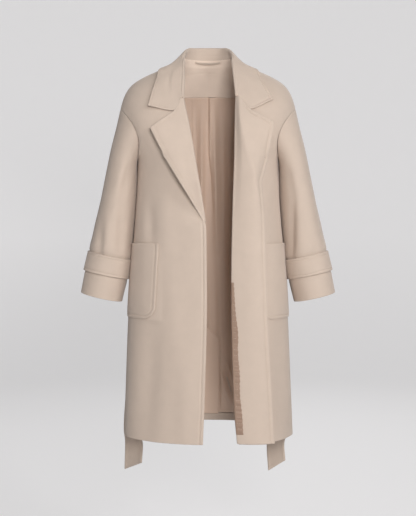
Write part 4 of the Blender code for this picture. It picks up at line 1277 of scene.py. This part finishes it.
def pocket_points(name):
    panel = FRONTS[name]
    t = np.linspace(POCKET_END, 1 - POCKET_END, POCKET_ROWS)
    u, v = np.meshgrid(np.linspace(POCKET_EDGE, 1 - POCKET_EDGE, POCKET_COLUMNS), 0.6 * t + 0.4 * t**2)
    level = v[:, 0]
    height = POCKET_BOTTOM + level * (POCKET_TOP - POCKET_BOTTOM)
    inner_out = POCKET_INNER_BOTTOM + level * (POCKET_INNER_TOP - POCKET_INNER_BOTTOM)
    inner_u, _ = shares_at(panel, SIDES[name] * inner_out, height)
    low = POCKET_CORNER_TURN * np.clip((POCKET_CORNER - level) / POCKET_CORNER, 0, 1)
    inset = (1 - np.sqrt(1 - low**2)) * (POCKET_REACH - inner_u)
    start, end = inner_u + POCKET_ROUND * inset, POCKET_REACH - POCKET_CORNER * inset
    across = start[:, None] + u * (end - start)[:, None]
    flat = across.ravel()
    share = share_at_height(panel, flat, np.repeat(height, POCKET_COLUMNS)).reshape(across.shape)
    base = gridded(panel, across, share)
    outline = np.concatenate([base[::-1, 0], base[0], base[:, -1]])
    edge = np.linalg.norm(base[:, :, None] - outline, axis=-1).min(axis=-1)
    from_top = run_along(base[::-1], 0)[::-1]
    lift = PATCH_EASE + CLOTH - POCKET_GROOVE * bell(edge - POCKET_SEAM, POCKET_GROOVE_WIDTH)
    lift += POCKET_CROWN * smooth(edge, *CROWN_FROM)
    lift += POCKET_GAPE[name] * np.sin(math.pi * u) ** 2 * smooth(v, GAPE_FROM, 1.0)
    lift += TOP_SWELL * bell(from_top, TOP_SWELL_WIDTH) + RIM_SWELL * bell(edge - RIM_PLACE, RIM_WIDTH)
    return gridded(lambda a, b, c: moved_out(panel, a, b, c), across, share, lift)


POCKET_GRIDS = {name: pocket_points(name) for name in SIDES}
for name, grid in POCKET_GRIDS.items():
    make(f"pocket_{name}", grid, (SIDES[name], -1, 0), CLOTH)

# %% [markdown]
# The collar is a stand that rises from the neck seam, a fold, and a fall that lies round the shoulders
# and ends at the notch. It is a surface through sections of it from one notch round to the other. The
# wearer's right half has a soft hollow where the fall bends over the shoulder.

# %% Collar: the cut
Collar = namedtuple("Collar", "neck fold fall edge")
COLLAR_BACK = (
    Collar((0.000, 0.068, 0.0014), (0.000, 0.069, 0.0455), (0.000, 0.090, 0.012), (0.000, 0.103, -0.030)),
    Collar((0.036, 0.057, 0.0012), (0.035, 0.062, 0.0442), (0.046, 0.082, 0.011), (0.060, 0.096, -0.028)),
    Collar((0.060, 0.033, 0.0005), (0.0565, 0.040, 0.0398), (0.079, 0.055, 0.008), (0.104, 0.067, -0.021)),
)
CollarFront = namedtuple("CollarFront", "neck fold fall_out fall_z edge_out edge_z")
COLLAR_FRONT = {
    "right": (
        CollarFront((0.070, 0.0050, -0.0020), (0.0665, 0.0090, 0.0265), 0.102, -0.020, 0.1345, -0.0345),
        CollarFront((0.069, -0.0300, -0.0180), (0.069, -0.0300, -0.0060), 0.106, -0.048, 0.1435, -0.0660),
        CollarFront((0.069, -0.0620, -0.0620), (0.069, -0.0640, -0.0540), 0.112, -0.082, 0.1520, -0.0960),
        CollarFront((0.069, -0.0930, -0.1220), (0.070, -0.0960, -0.1150), 0.089, -0.1590, 0.1630, -0.1465),
    ),
    "left": (
        CollarFront((0.070, 0.0050, -0.0020), (0.0665, 0.0090, 0.0265), 0.101, -0.020, 0.1345, -0.0355),
        CollarFront((0.070, -0.0300, -0.0180), (0.070, -0.0300, -0.0060), 0.108, -0.047, 0.1480, -0.0620),
        CollarFront((0.073, -0.0620, -0.0620), (0.074, -0.0640, -0.0540), 0.120, -0.078, 0.1590, -0.0870),
        CollarFront((0.077, -0.0930, -0.1180), (0.079, -0.0960, -0.1110), 0.113, -0.1560, 0.1770, -0.1275),
    ),
}
COLLAR_LIFTS, FOLD_RADIUS = (0.0080, 0.0085, 0.0095, 0.0125), 0.0045


def on_front(name, out, height, lift):
    u, v = shares_at(FRONTS[name], np.array([SIDES[name] * out]), np.array([height]))
    return moved_out(FRONTS[name], u, v, lift)[0]


def collar_row(neck, fold, fall, edge):
    """One section of the collar: up the stand, round the fold and down the fall."""
    way = unit((edge - fold) * (1, 1, 0))
    down = np.array([0, 0, -FOLD_RADIUS])
    return spline([neck, fold - way * FOLD_RADIUS + down, fold, fold + way * FOLD_RADIUS + down, fall, edge])


def collar_half(name):
    mirror = mirror_of(SIDES[name])
    rows = [collar_row(*(np.array(point) * mirror for point in section)) for section in COLLAR_BACK]
    for s, lift in zip(COLLAR_FRONT[name], COLLAR_LIFTS):
        fall = on_front(name, s.fall_out, s.fall_z, COLLAR_LIFTS[0])
        edge = on_front(name, s.edge_out, s.edge_z, lift)
        rows.append(collar_row(np.array(s.neck) * mirror, np.array(s.fold) * mirror, fall, edge))
    return rows


# %% Collar: making it
COLLAR_MARKS = np.array([2.2, 3.2, 4.2, 5.1, 6.0, 6.9, 7.9, 9.2, 11.5]) / 1000
COLLAR_STITCH = 4
STAND_STITCH = 0.020
COLLAR_FOLDS = (
    Fold(-0.1015, -0.040, -0.1030, -0.096, 0.013, -0.0042),
    Fold(-0.0860, -0.030, -0.0850, -0.110, 0.010, 0.0022),
    Fold(0.1080, -0.050, 0.1150, -0.105, 0.016, -0.0016),
)
COLLAR_STEP, COLLAR_COLUMNS, FALL_FROM = 0.0044, 44, (0.45, 0.62)
RIGHT_STRENGTH, STRENGTH_TURN, ENDS_FROM = 0.25, (-0.02, 0.02), (0.004, 0.008)
STAND_GROOVE, STAND_GROOVE_WIDTH = 0.0006, 0.0018
collar_surface = loft(collar_half("right")[:0:-1] + collar_half("left"))


def collar_points():
    levels = levels_of(collar_surface, COLLAR_MARKS, COLLAR_MARKS, COLLAR_STEP, u=1.0)
    u, v, near, far = laid_out(collar_surface, levels, SEAM_MARKS, COLLAR_MARKS, COLLAR_COLUMNS)
    points = gridded(collar_surface, u, v)
    fall = smooth(u, *FALL_FROM)
    ends = np.minimum(run_along(points, 0), run_along(points[::-1], 0)[::-1])
    stitched = COLLAR_MARKS[COLLAR_STITCH]
    left = smooth(points[..., 0], *STRENGTH_TURN)
    strength = STITCH_DEPTH * (RIGHT_STRENGTH + (1 - RIGHT_STRENGTH) * left)
    beside_ends = bell(ends - stitched, STITCH_WIDTH) * smooth(far, *ENDS_FROM)
    row = -strength * (bell(far - stitched, STITCH_WIDTH) + beside_ends)
    stand = -STAND_GROOVE * bell(near - STAND_STITCH, STAND_GROOVE_WIDTH) * (1 - fall)
    lift = folded(points, COLLAR_FOLDS) * fall + row * fall + seam_tuck(near) + stand
    return lifted(points, UP_WAY, lift)


collar_grid = collar_points()
make("collar", collar_grid, UP_WAY, DOUBLED_CLOTH)

# %% [markdown]
# Inside the back, a facing of the coat's cloth lines the neck. The lining hangs from it with a pleat down
# its middle, which lets the wearer move, and it falls in long soft folds to just above the turned-up hem.
# At the vent, one edge carries on as an underlap. A short tape below the collar is for hanging the coat up.

# %% Inside of the back
LINING_EASE, HEM_EASE, NECK_FACING, TAPE = 0.0036, 0.0012, 0.0016, 0.0012
UNDER_CLOTH = -(CLOTH + LINING_EASE)
FACING_TOP, FACING_BOTTOM, FACING_REACH, FACING_END_EASE = -0.009, -0.0933, 0.97 * NECK_SHARE, 0.004
LINING_TOP, LINING_BOTTOM, LINING_REACH = -0.0912, -1.036, 7 / 13
HEM_TOP, HEM_BOTTOM = -1.0375, -1.0580
LINING_LIFT = UNDER_CLOTH - LINING


def whole_back(s, v, lift):
    """Points of both backs: s runs from -1 at the right side seam to 1 at the left one."""
    points = np.empty((len(s), 3))
    for name, side in SIDES.items():
        here = (np.sign(s) == side) | ((s == 0) & (side == RIGHT))
        points[here] = moved_out(BACKS[name], np.abs(s[here]), v[here], lift[here])
    return points


def back_patch(low, high, reach, lift, end_lift, columns, rows, edge=0.0):
    """A grid on both backs between two heights, with a further lift that grows towards its two ends."""
    u = np.linspace(edge, 1 - edge, columns)
    s = (2 * u - 1) * reach
    bottom, top = (share_at_height(BACKS["left"], np.abs(s), height) for height in (low, high))
    v = bottom + np.linspace(edge, 1 - edge, rows)[:, None] * (top - bottom)
    across = np.repeat(s[None], rows, axis=0)
    return gridded(whole_back, across, v, lift + end_lift * (2 * u - 1) ** 2)


def up_to_stand(top_row):
    """Further rows from the top of the facing to a line just in front of the collar's stand."""
    stand = collar_surface(np.full(200, STAND_SHARE), np.linspace(0.2, 0.8, 200))
    bearing, wanted = (np.arctan2(line[:, 0], line[:, 1]) for line in (stand, top_row))
    line = picked(wanted, bearing, stand)
    line += STAND_GAP * unit(-line * (1, 1, 0))
    return np.array([top_row + t * (line - top_row) for t in (0.2, 0.4, 0.6, 0.8, 1.0)])


STAND_SHARE, STAND_GAP = 0.045, 0.0010
FACING_GRID = (60, 34, 0.008)
FACING_SEAM, FACING_SEAM_PLACE = 0.0008, 0.005
YOKE_SEAM, YOKE_SEAM_PLACE, FACING_SEAM_WIDTH = 0.0006, 0.072, 0.002
facing_lift = UNDER_CLOTH - NECK_FACING
neck_facing = back_patch(
    FACING_BOTTOM, FACING_TOP, FACING_REACH, facing_lift, -FACING_END_EASE, *FACING_GRID
)
neck_facing = np.concatenate([neck_facing, up_to_stand(neck_facing[-1])])
from_seam = run_along(neck_facing, 0)
pressed = -FACING_SEAM * bell(from_seam - FACING_SEAM_PLACE, FACING_SEAM_WIDTH)
pressed -= YOKE_SEAM * bell(from_seam - YOKE_SEAM_PLACE, FACING_SEAM_WIDTH)
neck_facing = lifted(neck_facing, FRONT_WAY, pressed)
# the neck facing's colour is the coat's wool painted lighter, as painted light inside the coat
make("back_neck_facing", neck_facing, FRONT_WAY, NECK_FACING, "facing_wool_painted_light", sewn=SIDES_OF_GRID)
hem = back_patch(HEM_BOTTOM, HEM_TOP, LINING_REACH, -(CLOTH + HEM_EASE + CLOTH), 0.0, 120, 9, 0.012)
make("back_hem", hem, FRONT_WAY, CLOTH)

# %% Lining
PLEAT_LINE = (
    (-0.090, 0.0030), (-0.263, 0.0032), (-0.314, 0.0090),
    (-0.397, 0.0150), (-0.480, 0.0190), (-1.040, 0.0190),
)
PLEAT_STEP = 0.0085
FOLD_FULLNESS = 1.5
LINING_FOLDS = (
    Fold(-0.0495, -0.10, -0.0500, -0.52, 0.0040, -0.0034),
    Fold(-0.0373, -0.10, -0.0360, -0.60, 0.0075, -0.0030),
    Fold(-0.0185, -0.10, -0.0200, -0.64, 0.0085, 0.0066),
    Fold(0.0200, -0.12, 0.0260, -0.55, 0.0080, 0.0052),
    Fold(0.0440, -0.12, 0.0470, -0.60, 0.0100, -0.0032),
    Fold(0.0640, -0.14, 0.0680, -0.90, 0.0120, 0.0060),
    Fold(-0.0760, -0.14, -0.0820, -0.90, 0.0140, 0.0056),
    Fold(0.0340, -0.52, 0.0420, -1.02, 0.0130, 0.0050),
    Fold(0.0080, -0.60, 0.0060, -1.00, 0.0110, 0.0040),
    Fold(-0.0300, -0.66, -0.0360, -1.02, 0.0150, 0.0044),
    Fold(0.0960, -0.40, 0.1020, -1.00, 0.0160, 0.0050),
    Fold(-0.1060, -0.40, -0.1120, -1.00, 0.0160, 0.0046),
    Fold(0.0345, -0.800, 0.0345, -1.034, 0.0030, -0.0036),
    Fold(-0.0160, -0.764, 0.0345, -0.810, 0.0030, -0.0030),
    Fold(0.0380, -0.870, 0.0720, -0.985, 0.0080, -0.0048),
    Fold(0.0480, -0.855, 0.0800, -0.965, 0.0090, 0.0050),
    Fold(0.0360, -0.905, 0.0680, -1.010, 0.0075, 0.0040),
)


LINING_GRID = (190, 150, 0.0015)
PLEAT_HEIGHTS, PLEAT_EDGE, PLEAT_FADE = (-0.50, -0.24), (-0.0010, 0.0014), (0.008, 0.034)
LINING_SEWN, LINING_HEM_FADE = (-0.115, -0.094), 0.03


def lining_points():
    points = back_patch(LINING_BOTTOM, LINING_TOP, LINING_REACH, LINING_LIFT, -LINING_EASE, *LINING_GRID)
    heights, middles = zip(*PLEAT_LINE[::-1])
    off = points[..., 0] - np.interp(points[..., 2], heights, middles)
    deep = smooth(points[..., 2], *PLEAT_HEIGHTS)
    pleat = PLEAT_STEP * smooth(off, *PLEAT_EDGE) * (1 - smooth(off, *PLEAT_FADE)) * deep
    sewn = 1 - smooth(points[..., 2], *LINING_SEWN)
    ends = smooth(points[..., 2], LINING_BOTTOM, LINING_BOTTOM + LINING_HEM_FADE)
    return lifted(points, FRONT_WAY, (FOLD_FULLNESS * folded(points, LINING_FOLDS) * sewn + pleat) * ends)


lining = lining_points()
# the back lining's colour is painted lighter, as painted light inside the coat
make("back_lining", lining, FRONT_WAY, LINING, "lining_twill_painted_light", sewn=("high",))

# %% Vent underlap and hanger loop
VENT_TOP, VENT_SHOULDER, VENT_START, VENT_WIDTH = -0.765, -0.8125, -0.020, 0.032
VENT_EDGE, VENT_END, VENT_COLUMNS, VENT_ROWS = 0.03, 0.004, 16, 70
VENT_CLEARANCE, VENT_LEAN = 0.0003, 0.0032
LOOP_EASE = 0.0024
LOOP_HALF_LENGTH, LOOP_WIDTH, LOOP_TOP, LOOP_SAG = 0.036, 0.0055, 0.0045, 0.005


def underlap_points():
    u = np.linspace(VENT_EDGE, 1 - VENT_EDGE, VENT_COLUMNS)
    u, v = np.meshgrid(u, np.linspace(VENT_END, 1 - VENT_END, VENT_ROWS))
    height = HEM_TOP + VENT_CLEARANCE + v * (VENT_TOP + u * (VENT_SHOULDER - VENT_TOP) - HEM_TOP)
    x = (VENT_START + u * (VENT_WIDTH - VENT_START)).ravel()
    share, level = shares_at(BACKS["left"], np.abs(x), height.ravel())
    lift = LINING_LIFT - LINING_EASE - CLOTH - VENT_LEAN * u.ravel() ** 2
    points = moved_out(BACKS["left"], share, level, lift)
    points[:, 0] *= np.where(x < 0, -1, 1)
    return points.reshape(*u.shape, 3)


def loop_points():
    u, v = np.meshgrid(np.linspace(0, 1, 48), np.linspace(0.1, 0.9, 5))
    x = (2 * u - 1) * LOOP_HALF_LENGTH
    sag = LOOP_SAG * np.sin(math.pi * u) ** 0.6
    height = LOOP_TOP - sag - LOOP_WIDTH * (1 - v)
    share, level = shares_at(BACKS["left"], np.abs(x).ravel(), height.ravel())
    lift = UNDER_CLOTH - NECK_FACING - LOOP_EASE - TAPE - 1.2 * sag.ravel()
    depth = moved_out(BACKS["left"], share, level, lift)[:, 1].reshape(u.shape)
    return np.stack([x, depth, height], axis=2)


underlap, loop = underlap_points(), loop_points()
# the underlap takes the lightened lining: painted light inside the coat
make("vent_underlap", underlap, FRONT_WAY, CLOTH, "lining_twill_painted_light")
make("hanger_loop", loop, FRONT_WAY, TAPE)

# %% [markdown]
# The belt lies across the back in two loops. Each end comes through its loop, folds over on the slant and
# hangs down past the hem to a slanted tip. It is a doubled band, stitched near both edges.

# %% Belt
BELT_CLOTH = 0.0030
BELT_TOP, BELT_BOTTOM, BELT_REACH = -0.415, -0.465, 11 / 13
BELT_MARKS = np.array([1.5, 2.8, 4.0, 5.2, 6.4, 8.0]) / 1000
BELT_STITCH = 3
BELT_GROOVE, BELT_GROOVE_WIDTH, TIP_ROW_FROM = 0.0009, 0.0016, (0.003, 0.006)
BELT_SWAY, SWAY_FROM, SWAY_TO = 0.0030, (0.52, 0.66), (0.99, 1.09)
BELT_STEP, BELT_COLUMNS, BELT_BACK_EDGE, BELT_BACK_ROWS = 0.0060, 8, 0.003, 150
BeltEnd = namedtuple("BeltEnd", "inner_height inner outer_height outer")
BELT_END_ON_BACK = (
    BeltEnd(-0.4650, 0.640, -0.4180, 0.840),
    BeltEnd(-0.4900, 0.643, -0.4800, 0.842),
    BeltEnd(-0.6000, 0.680, -0.6000, 0.870),
    BeltEnd(-0.7500, 0.705, -0.7500, 0.880),
    BeltEnd(-0.9000, 0.715, -0.9000, 0.882),
    BeltEnd(-1.0580, 0.728, -1.0580, 0.890),
)
BELT_END_SHIFT = {"right": 0.0, "left": -0.055}
BELT_END_LIFT = 0.0085
BeltTip = namedtuple("BeltTip", "inner outer")
BELT_TIP = {
    "right": (
        BeltTip((0.1950, 0.110, -1.110), (0.2450, 0.098, -1.110)),
        BeltTip((0.1928, 0.080, -1.1690), (0.2484, 0.140, -1.2025)),
    ),
    "left": (
        BeltTip((0.1790, 0.132, -1.110), (0.2265, 0.096, -1.110)),
        BeltTip((0.1795, 0.126, -1.2045), (0.2292, 0.108, -1.1675)),
    ),
}


def belt_dip(distance):
    """A row of stitching beside one edge of the belt."""
    return -BELT_GROOVE * bell(distance - BELT_MARKS[BELT_STITCH], BELT_GROOVE_WIDTH)


def belt_end_points(name):
    """The end of the belt from its slanted tip up to the slanted fold at its loop."""
    panel, side = BACKS[name], SIDES[name]
    rows = [mirrored(straight(tip.inner, tip.outer), side) for tip in reversed(BELT_TIP[name])]
    t = np.linspace(0, 1, 7)
    for end in reversed(BELT_END_ON_BACK):
        share = end.inner + BELT_END_SHIFT[name] + t * (end.outer - end.inner)
        level = share_at_height(panel, share, end.inner_height + t * (end.outer_height - end.inner_height))
        rows.append(spline(moved_out(panel, share, level, BELT_END_LIFT)))
    surface = loft(rows)
    levels = levels_of(surface, BELT_MARKS, BELT_MARKS, BELT_STEP)
    u, v, near, far = laid_out(surface, levels, BELT_MARKS, BELT_MARKS, BELT_COLUMNS)
    points = gridded(surface, u, v)
    from_tip = run_along(points, 0)
    lift = belt_dip(near) + belt_dip(far)
    lift += belt_dip(from_tip) * smooth(np.minimum(near, far), *TIP_ROW_FROM)
    drop = -points[..., 2]
    sway = BELT_SWAY * np.sin(math.tau * (near * 3.0 - drop * 1.6))
    sway *= smooth(drop, *SWAY_FROM) * (1 - smooth(drop, *SWAY_TO))
    return lifted(points, BACK_WAY, lift + sway)


def belt_back_points():
    u = np.linspace(BELT_BACK_EDGE, 1 - BELT_BACK_EDGE, BELT_BACK_ROWS)
    s = (2 * u - 1) * BELT_REACH
    bottom, top = (share_at_height(BACKS["left"], np.abs(s), height) for height in (BELT_BOTTOM, BELT_TOP))
    marks = spaced(BELT_MARKS, BELT_TOP - BELT_BOTTOM, BELT_MARKS, BELT_COLUMNS)
    share = marks / (BELT_TOP - BELT_BOTTOM)
    lift = PATCH_EASE + BELT_CLOTH + belt_dip(marks) + belt_dip(BELT_TOP - BELT_BOTTOM - marks)
    v = bottom + share[:, None] * (top - bottom)
    return gridded(whole_back, np.repeat(s[None], len(marks), axis=0), v, lift[:, None])


belt_back = belt_back_points()
make("belt_back", belt_back, BACK_WAY, BELT_CLOTH)
BELT_ENDS = {name: belt_end_points(name) for name in SIDES}
for name, grid in BELT_ENDS.items():
    make(f"belt_end_{name}", grid, (SIDES[name], 1, 0), BELT_CLOTH)

# %% Belt loops
CARRIER_PLACE, CARRIER_WIDTH, CARRIER_CLOTH = 0.80, 0.05, 0.0016
CARRIER_TOP, CARRIER_BOTTOM = -0.402, -0.478
CARRIER_HEIGHT, CARRIER_EDGE, CARRIER_BRIDGE = 0.0105, 0.06, (0.04, 0.17)
CARRIERS = {}

for name, side in SIDES.items():
    u, v = np.meshgrid(np.linspace(CARRIER_EDGE, 1 - CARRIER_EDGE, 9), np.linspace(0, 1, 60))
    share = CARRIER_PLACE + (u - 0.5) * CARRIER_WIDTH
    height = CARRIER_BOTTOM + v * (CARRIER_TOP - CARRIER_BOTTOM)
    level = share_at_height(BACKS[name], share.ravel(), height.ravel()).reshape(u.shape)
    bridge = smooth(np.minimum(v, 1 - v), *CARRIER_BRIDGE)
    lift = PATCH_EASE + CARRIER_CLOTH + bridge * (CARRIER_HEIGHT - PATCH_EASE - CARRIER_CLOTH)
    CARRIERS[name] = gridded(lambda a, b, c: moved_out(BACKS[name], a, b, c), share, level, lift)
    make(f"belt_loop_{name}", CARRIERS[name], (side, 1, 0), CARRIER_CLOTH)

# %% [markdown]
# Rows of stitching run inside the free edges. Each stitch is a short thread that comes up out of the cloth
# and goes down again, so its two ends are sunk. All the stitches on a piece are one mesh: a thin spindle is
# repeated along the row at an even pitch, lying in the groove that the row has pulled.

# %% Stitches
PITCH, STITCH_LENGTH, THREAD = 0.0046, 0.0034, 0.0009
STATIONS = np.array([-0.5, -0.32, 0.0, 0.32, 0.5])
RISE = np.array([-0.00045, 0.00010, 0.00030, 0.00010, -0.00045])
PLUMP = np.array([0.35, 0.9, 1.0, 0.9, 0.35])
AROUND = 5


def spaced_along(points, normals, step):
    """Points, directions and normals at an even step along a row."""
    run = run_of(points)
    at = np.arange(step, run[-1] - step / 2, step)
    where, up = picked(at, run, points), picked(at, run, normals)
    return where, unit(picked(at + step / 4, run, points) - where), unit(up)


def stitched(piece, rows):
    """One mesh with all the stitches along a piece's rows, each given as points and normals."""
    where, ahead, up = (np.concatenate(parts) for parts in zip(*(spaced_along(p, n, PITCH) for p, n in rows)))
    across = np.cross(ahead, up)
    turn = math.tau * np.arange(AROUND) / AROUND
    wide, high = (PLUMP[:, None] * THREAD / 2 * part(turn) for part in (np.cos, np.sin))
    lengthways = ahead[:, None] * (STATIONS * STITCH_LENGTH)[:, None]
    middle = where[:, None] + lengthways + up[:, None] * RISE[:, None]
    sideways = across[:, None, None] * wide[..., None]
    vertices = middle[:, :, None] + sideways + up[:, None, None] * high[..., None]
    each = len(STATIONS) * AROUND
    faces = []
    for k in range(len(STATIONS) - 1):
        for a in range(AROUND):
            b = (a + 1) % AROUND
            faces.append((k * AROUND + a, k * AROUND + b, (k + 1) * AROUND + b, (k + 1) * AROUND + a))
    faces = (np.arange(len(where))[:, None, None] * each + np.array(faces)).reshape(-1, 4)
    flat = vertices.reshape(-1, 3)
    maps = np.stack([flat[faces][..., 0], flat[faces][..., 2]], axis=-1)
    return meshed(f"{piece}_stitches", flat, faces, maps, "sewing_thread"), len(where)


def row_of(grid, towards, rows=slice(None), columns=slice(None), wrapped=False):
    """A line of a grid with its outward normals."""
    line, up = grid[rows, columns], facing_of(grid, towards, wrapped)[0][rows, columns]
    return (np.concatenate([line, line[:1]]), np.concatenate([up, up[:1]])) if wrapped else (line, up)


# %% Rows of stitching on each piece
POCKET_ROW_SHIFT, LEAST_ROW_WIDTH, ROLLED_COLUMNS, FALL_COLUMN = 0.0004, 0.028, 9, 30
GORGE_COLUMNS = {"right": 17, "left": 20}


def pocket_row(grid, side):
    """A row at an even distance inside a pocket's sides and bottom, laid on the pocket."""
    normal = row_of(grid, (side, -1, 0))[1]
    outline, up = (np.concatenate([g[::-1, 0], g[0], g[:, -1]]) for g in (grid, normal))
    inward = unit(np.cross(np.gradient(outline, axis=0), up))
    inward *= 1 if ((grid.mean(axis=(0, 1)) - outline) * inward).sum() > 0 else -1
    wanted = outline + inward * (POCKET_SEAM - POCKET_ROW_SHIFT)
    nearest = np.argmin(np.linalg.norm(wanted[:, None] - grid.reshape(-1, 3), axis=-1), axis=1)
    up, base = normal.reshape(-1, 3)[nearest], grid.reshape(-1, 3)[nearest]
    return wanted + up * ((base - wanted) * up).sum(axis=1)[:, None], up


edge_column = -1 - STITCH_COLUMN
low_rows = FRONT_GRIDS["right"][:, STITCH_COLUMN, 2] < BREAK_LOW
ROWS = {"front_right": [row_of(FRONT_GRIDS["right"], FRONT_WAY, low_rows, STITCH_COLUMN)]}
for name, node in (("right", "lapel_right"), ("left", "facing_left")):
    grid = TURNED_GRIDS[name]
    wide = np.arange(len(grid)) >= STITCH_COLUMN
    wide &= np.linalg.norm(grid[:, -1] - grid[:, ROLLED_COLUMNS], axis=1) > LEAST_ROW_WIDTH
    top = slice(GORGE_COLUMNS[name], edge_column + 1)
    ROWS[node] = [row_of(grid, FRONT_WAY, wide, edge_column), row_of(grid, FRONT_WAY, STITCH_COLUMN, top)]
inner, outer = COLLAR_STITCH, -1 - COLLAR_STITCH
ROWS["collar"] = [row_of(collar_grid, UP_WAY, slice(inner, outer), outer)]
ROWS["collar"] += [row_of(collar_grid, UP_WAY, end, slice(FALL_COLUMN, outer)) for end in (inner, outer)]
for name, side in SIDES.items():
    ROWS[f"pocket_{name}"] = [pocket_row(POCKET_GRIDS[name], side)]
    ROWS[f"cuff_strap_{name}"] = [row_of(STRAP_GRIDS[name], None, k, wrapped=True) for k in STRAP_STITCHES]
    way = (side, 1, 0)
    near, far = BELT_STITCH, -1 - BELT_STITCH
    ROWS[f"belt_end_{name}"] = [row_of(BELT_ENDS[name], way, slice(near, None), k) for k in (near, far)]
    ROWS[f"belt_end_{name}"] += [row_of(BELT_ENDS[name], way, near, slice(near, far))]
crossings = range(14, len(strip) - 3, 5)
ROWS["lining_strip_left"] = [row_of(strip, FRONT_WAY, k, slice(6, None)) for k in crossings]
ROWS["belt_back"] = [row_of(belt_back, BACK_WAY, k) for k in (BELT_STITCH, -1 - BELT_STITCH)]

THREADS = {}
for node, rows in ROWS.items():
    THREADS[node], count = stitched(f"coat_{node}", rows)
    print(node, "stitches:", count)

# %% [markdown]
# Last, each piece is placed in the frame: it rides on the coat and stands for one solid, which is hidden.
# Each piece of cloth is measured along the cloth, and its size and area are printed.

# %% Placing and measuring
Cut = namedtuple("Cut", "grid held rests_on")
CUTS = {
    "collar": Cut(collar_grid, "folded", "back_right"),
    "back_neck_facing": Cut(neck_facing, "hung", "collar"),
    "back_lining": Cut(lining, "hung", "back_neck_facing"),
    "back_hem": Cut(hem, "folded", "back_left"),
    "vent_underlap": Cut(underlap, "hung", "back_left"),
    "hanger_loop": Cut(loop, "hung", "back_neck_facing"),
    "belt_back": Cut(belt_back, "laid", "belt_loop_right"),
    "lapel_right": Cut(TURNED_GRIDS["right"], "folded", "front_right"),
    "facing_left": Cut(TURNED_GRIDS["left"], "folded", "front_left"),
    "lining_strip_left": Cut(strip, "folded", "facing_left"),
}
for name in SIDES:
    CUTS[f"front_{name}"] = Cut(FRONT_GRIDS[name], "hung", f"back_{name}")
    CUTS[f"back_{name}"] = Cut(BACK_GRIDS[name], "hung", "collar")
    CUTS[f"sleeve_{name}"] = Cut(SLEEVE_GRIDS[name], "hung", f"back_{name}")
    CUTS[f"cuff_strap_{name}"] = Cut(STRAP_GRIDS[name], "stretched", f"sleeve_{name}")
    CUTS[f"pocket_{name}"] = Cut(POCKET_GRIDS[name], "laid", f"front_{name}")
    CUTS[f"belt_end_{name}"] = Cut(BELT_ENDS[name], "hung", f"belt_loop_{name}")
    CUTS[f"belt_loop_{name}"] = Cut(CARRIERS[name], "laid", f"back_{name}")
ROUND_PIECES = ("sleeve", "cuff_strap")
LEAST_WIDTH = 0.012


def flat_size(grid, closed):
    """A cut piece's width, length and area, measured along the cloth."""
    grid = np.concatenate([grid, grid[:, :1]], axis=1) if closed else grid
    a, b, c, d = grid[:-1, :-1], grid[:-1, 1:], grid[1:, 1:], grid[1:, :-1]
    area = np.linalg.norm(np.cross(c - a, d - b), axis=-1).sum() / 2
    return run_along(grid, 1)[:, -1].max(), run_along(grid, 0)[-1].max(), area


for node, cut in CUTS.items():
    piece = MADE[node]
    width, length, area = flat_size(cut.grid, node.rpartition("_")[0] in ROUND_PIECES)
    flat = (round(max(width, LEAST_WIDTH), 4), round(max(length, LEAST_WIDTH), 4))
    threads = [THREADS[node]] if node in THREADS else []
    for made in [piece] + threads:
        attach(made, "root")
    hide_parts(node)
    area = min(area, flat[0] * flat[1])
    print(node, "cut", flat, "m, area", round(area, 5), "square metres")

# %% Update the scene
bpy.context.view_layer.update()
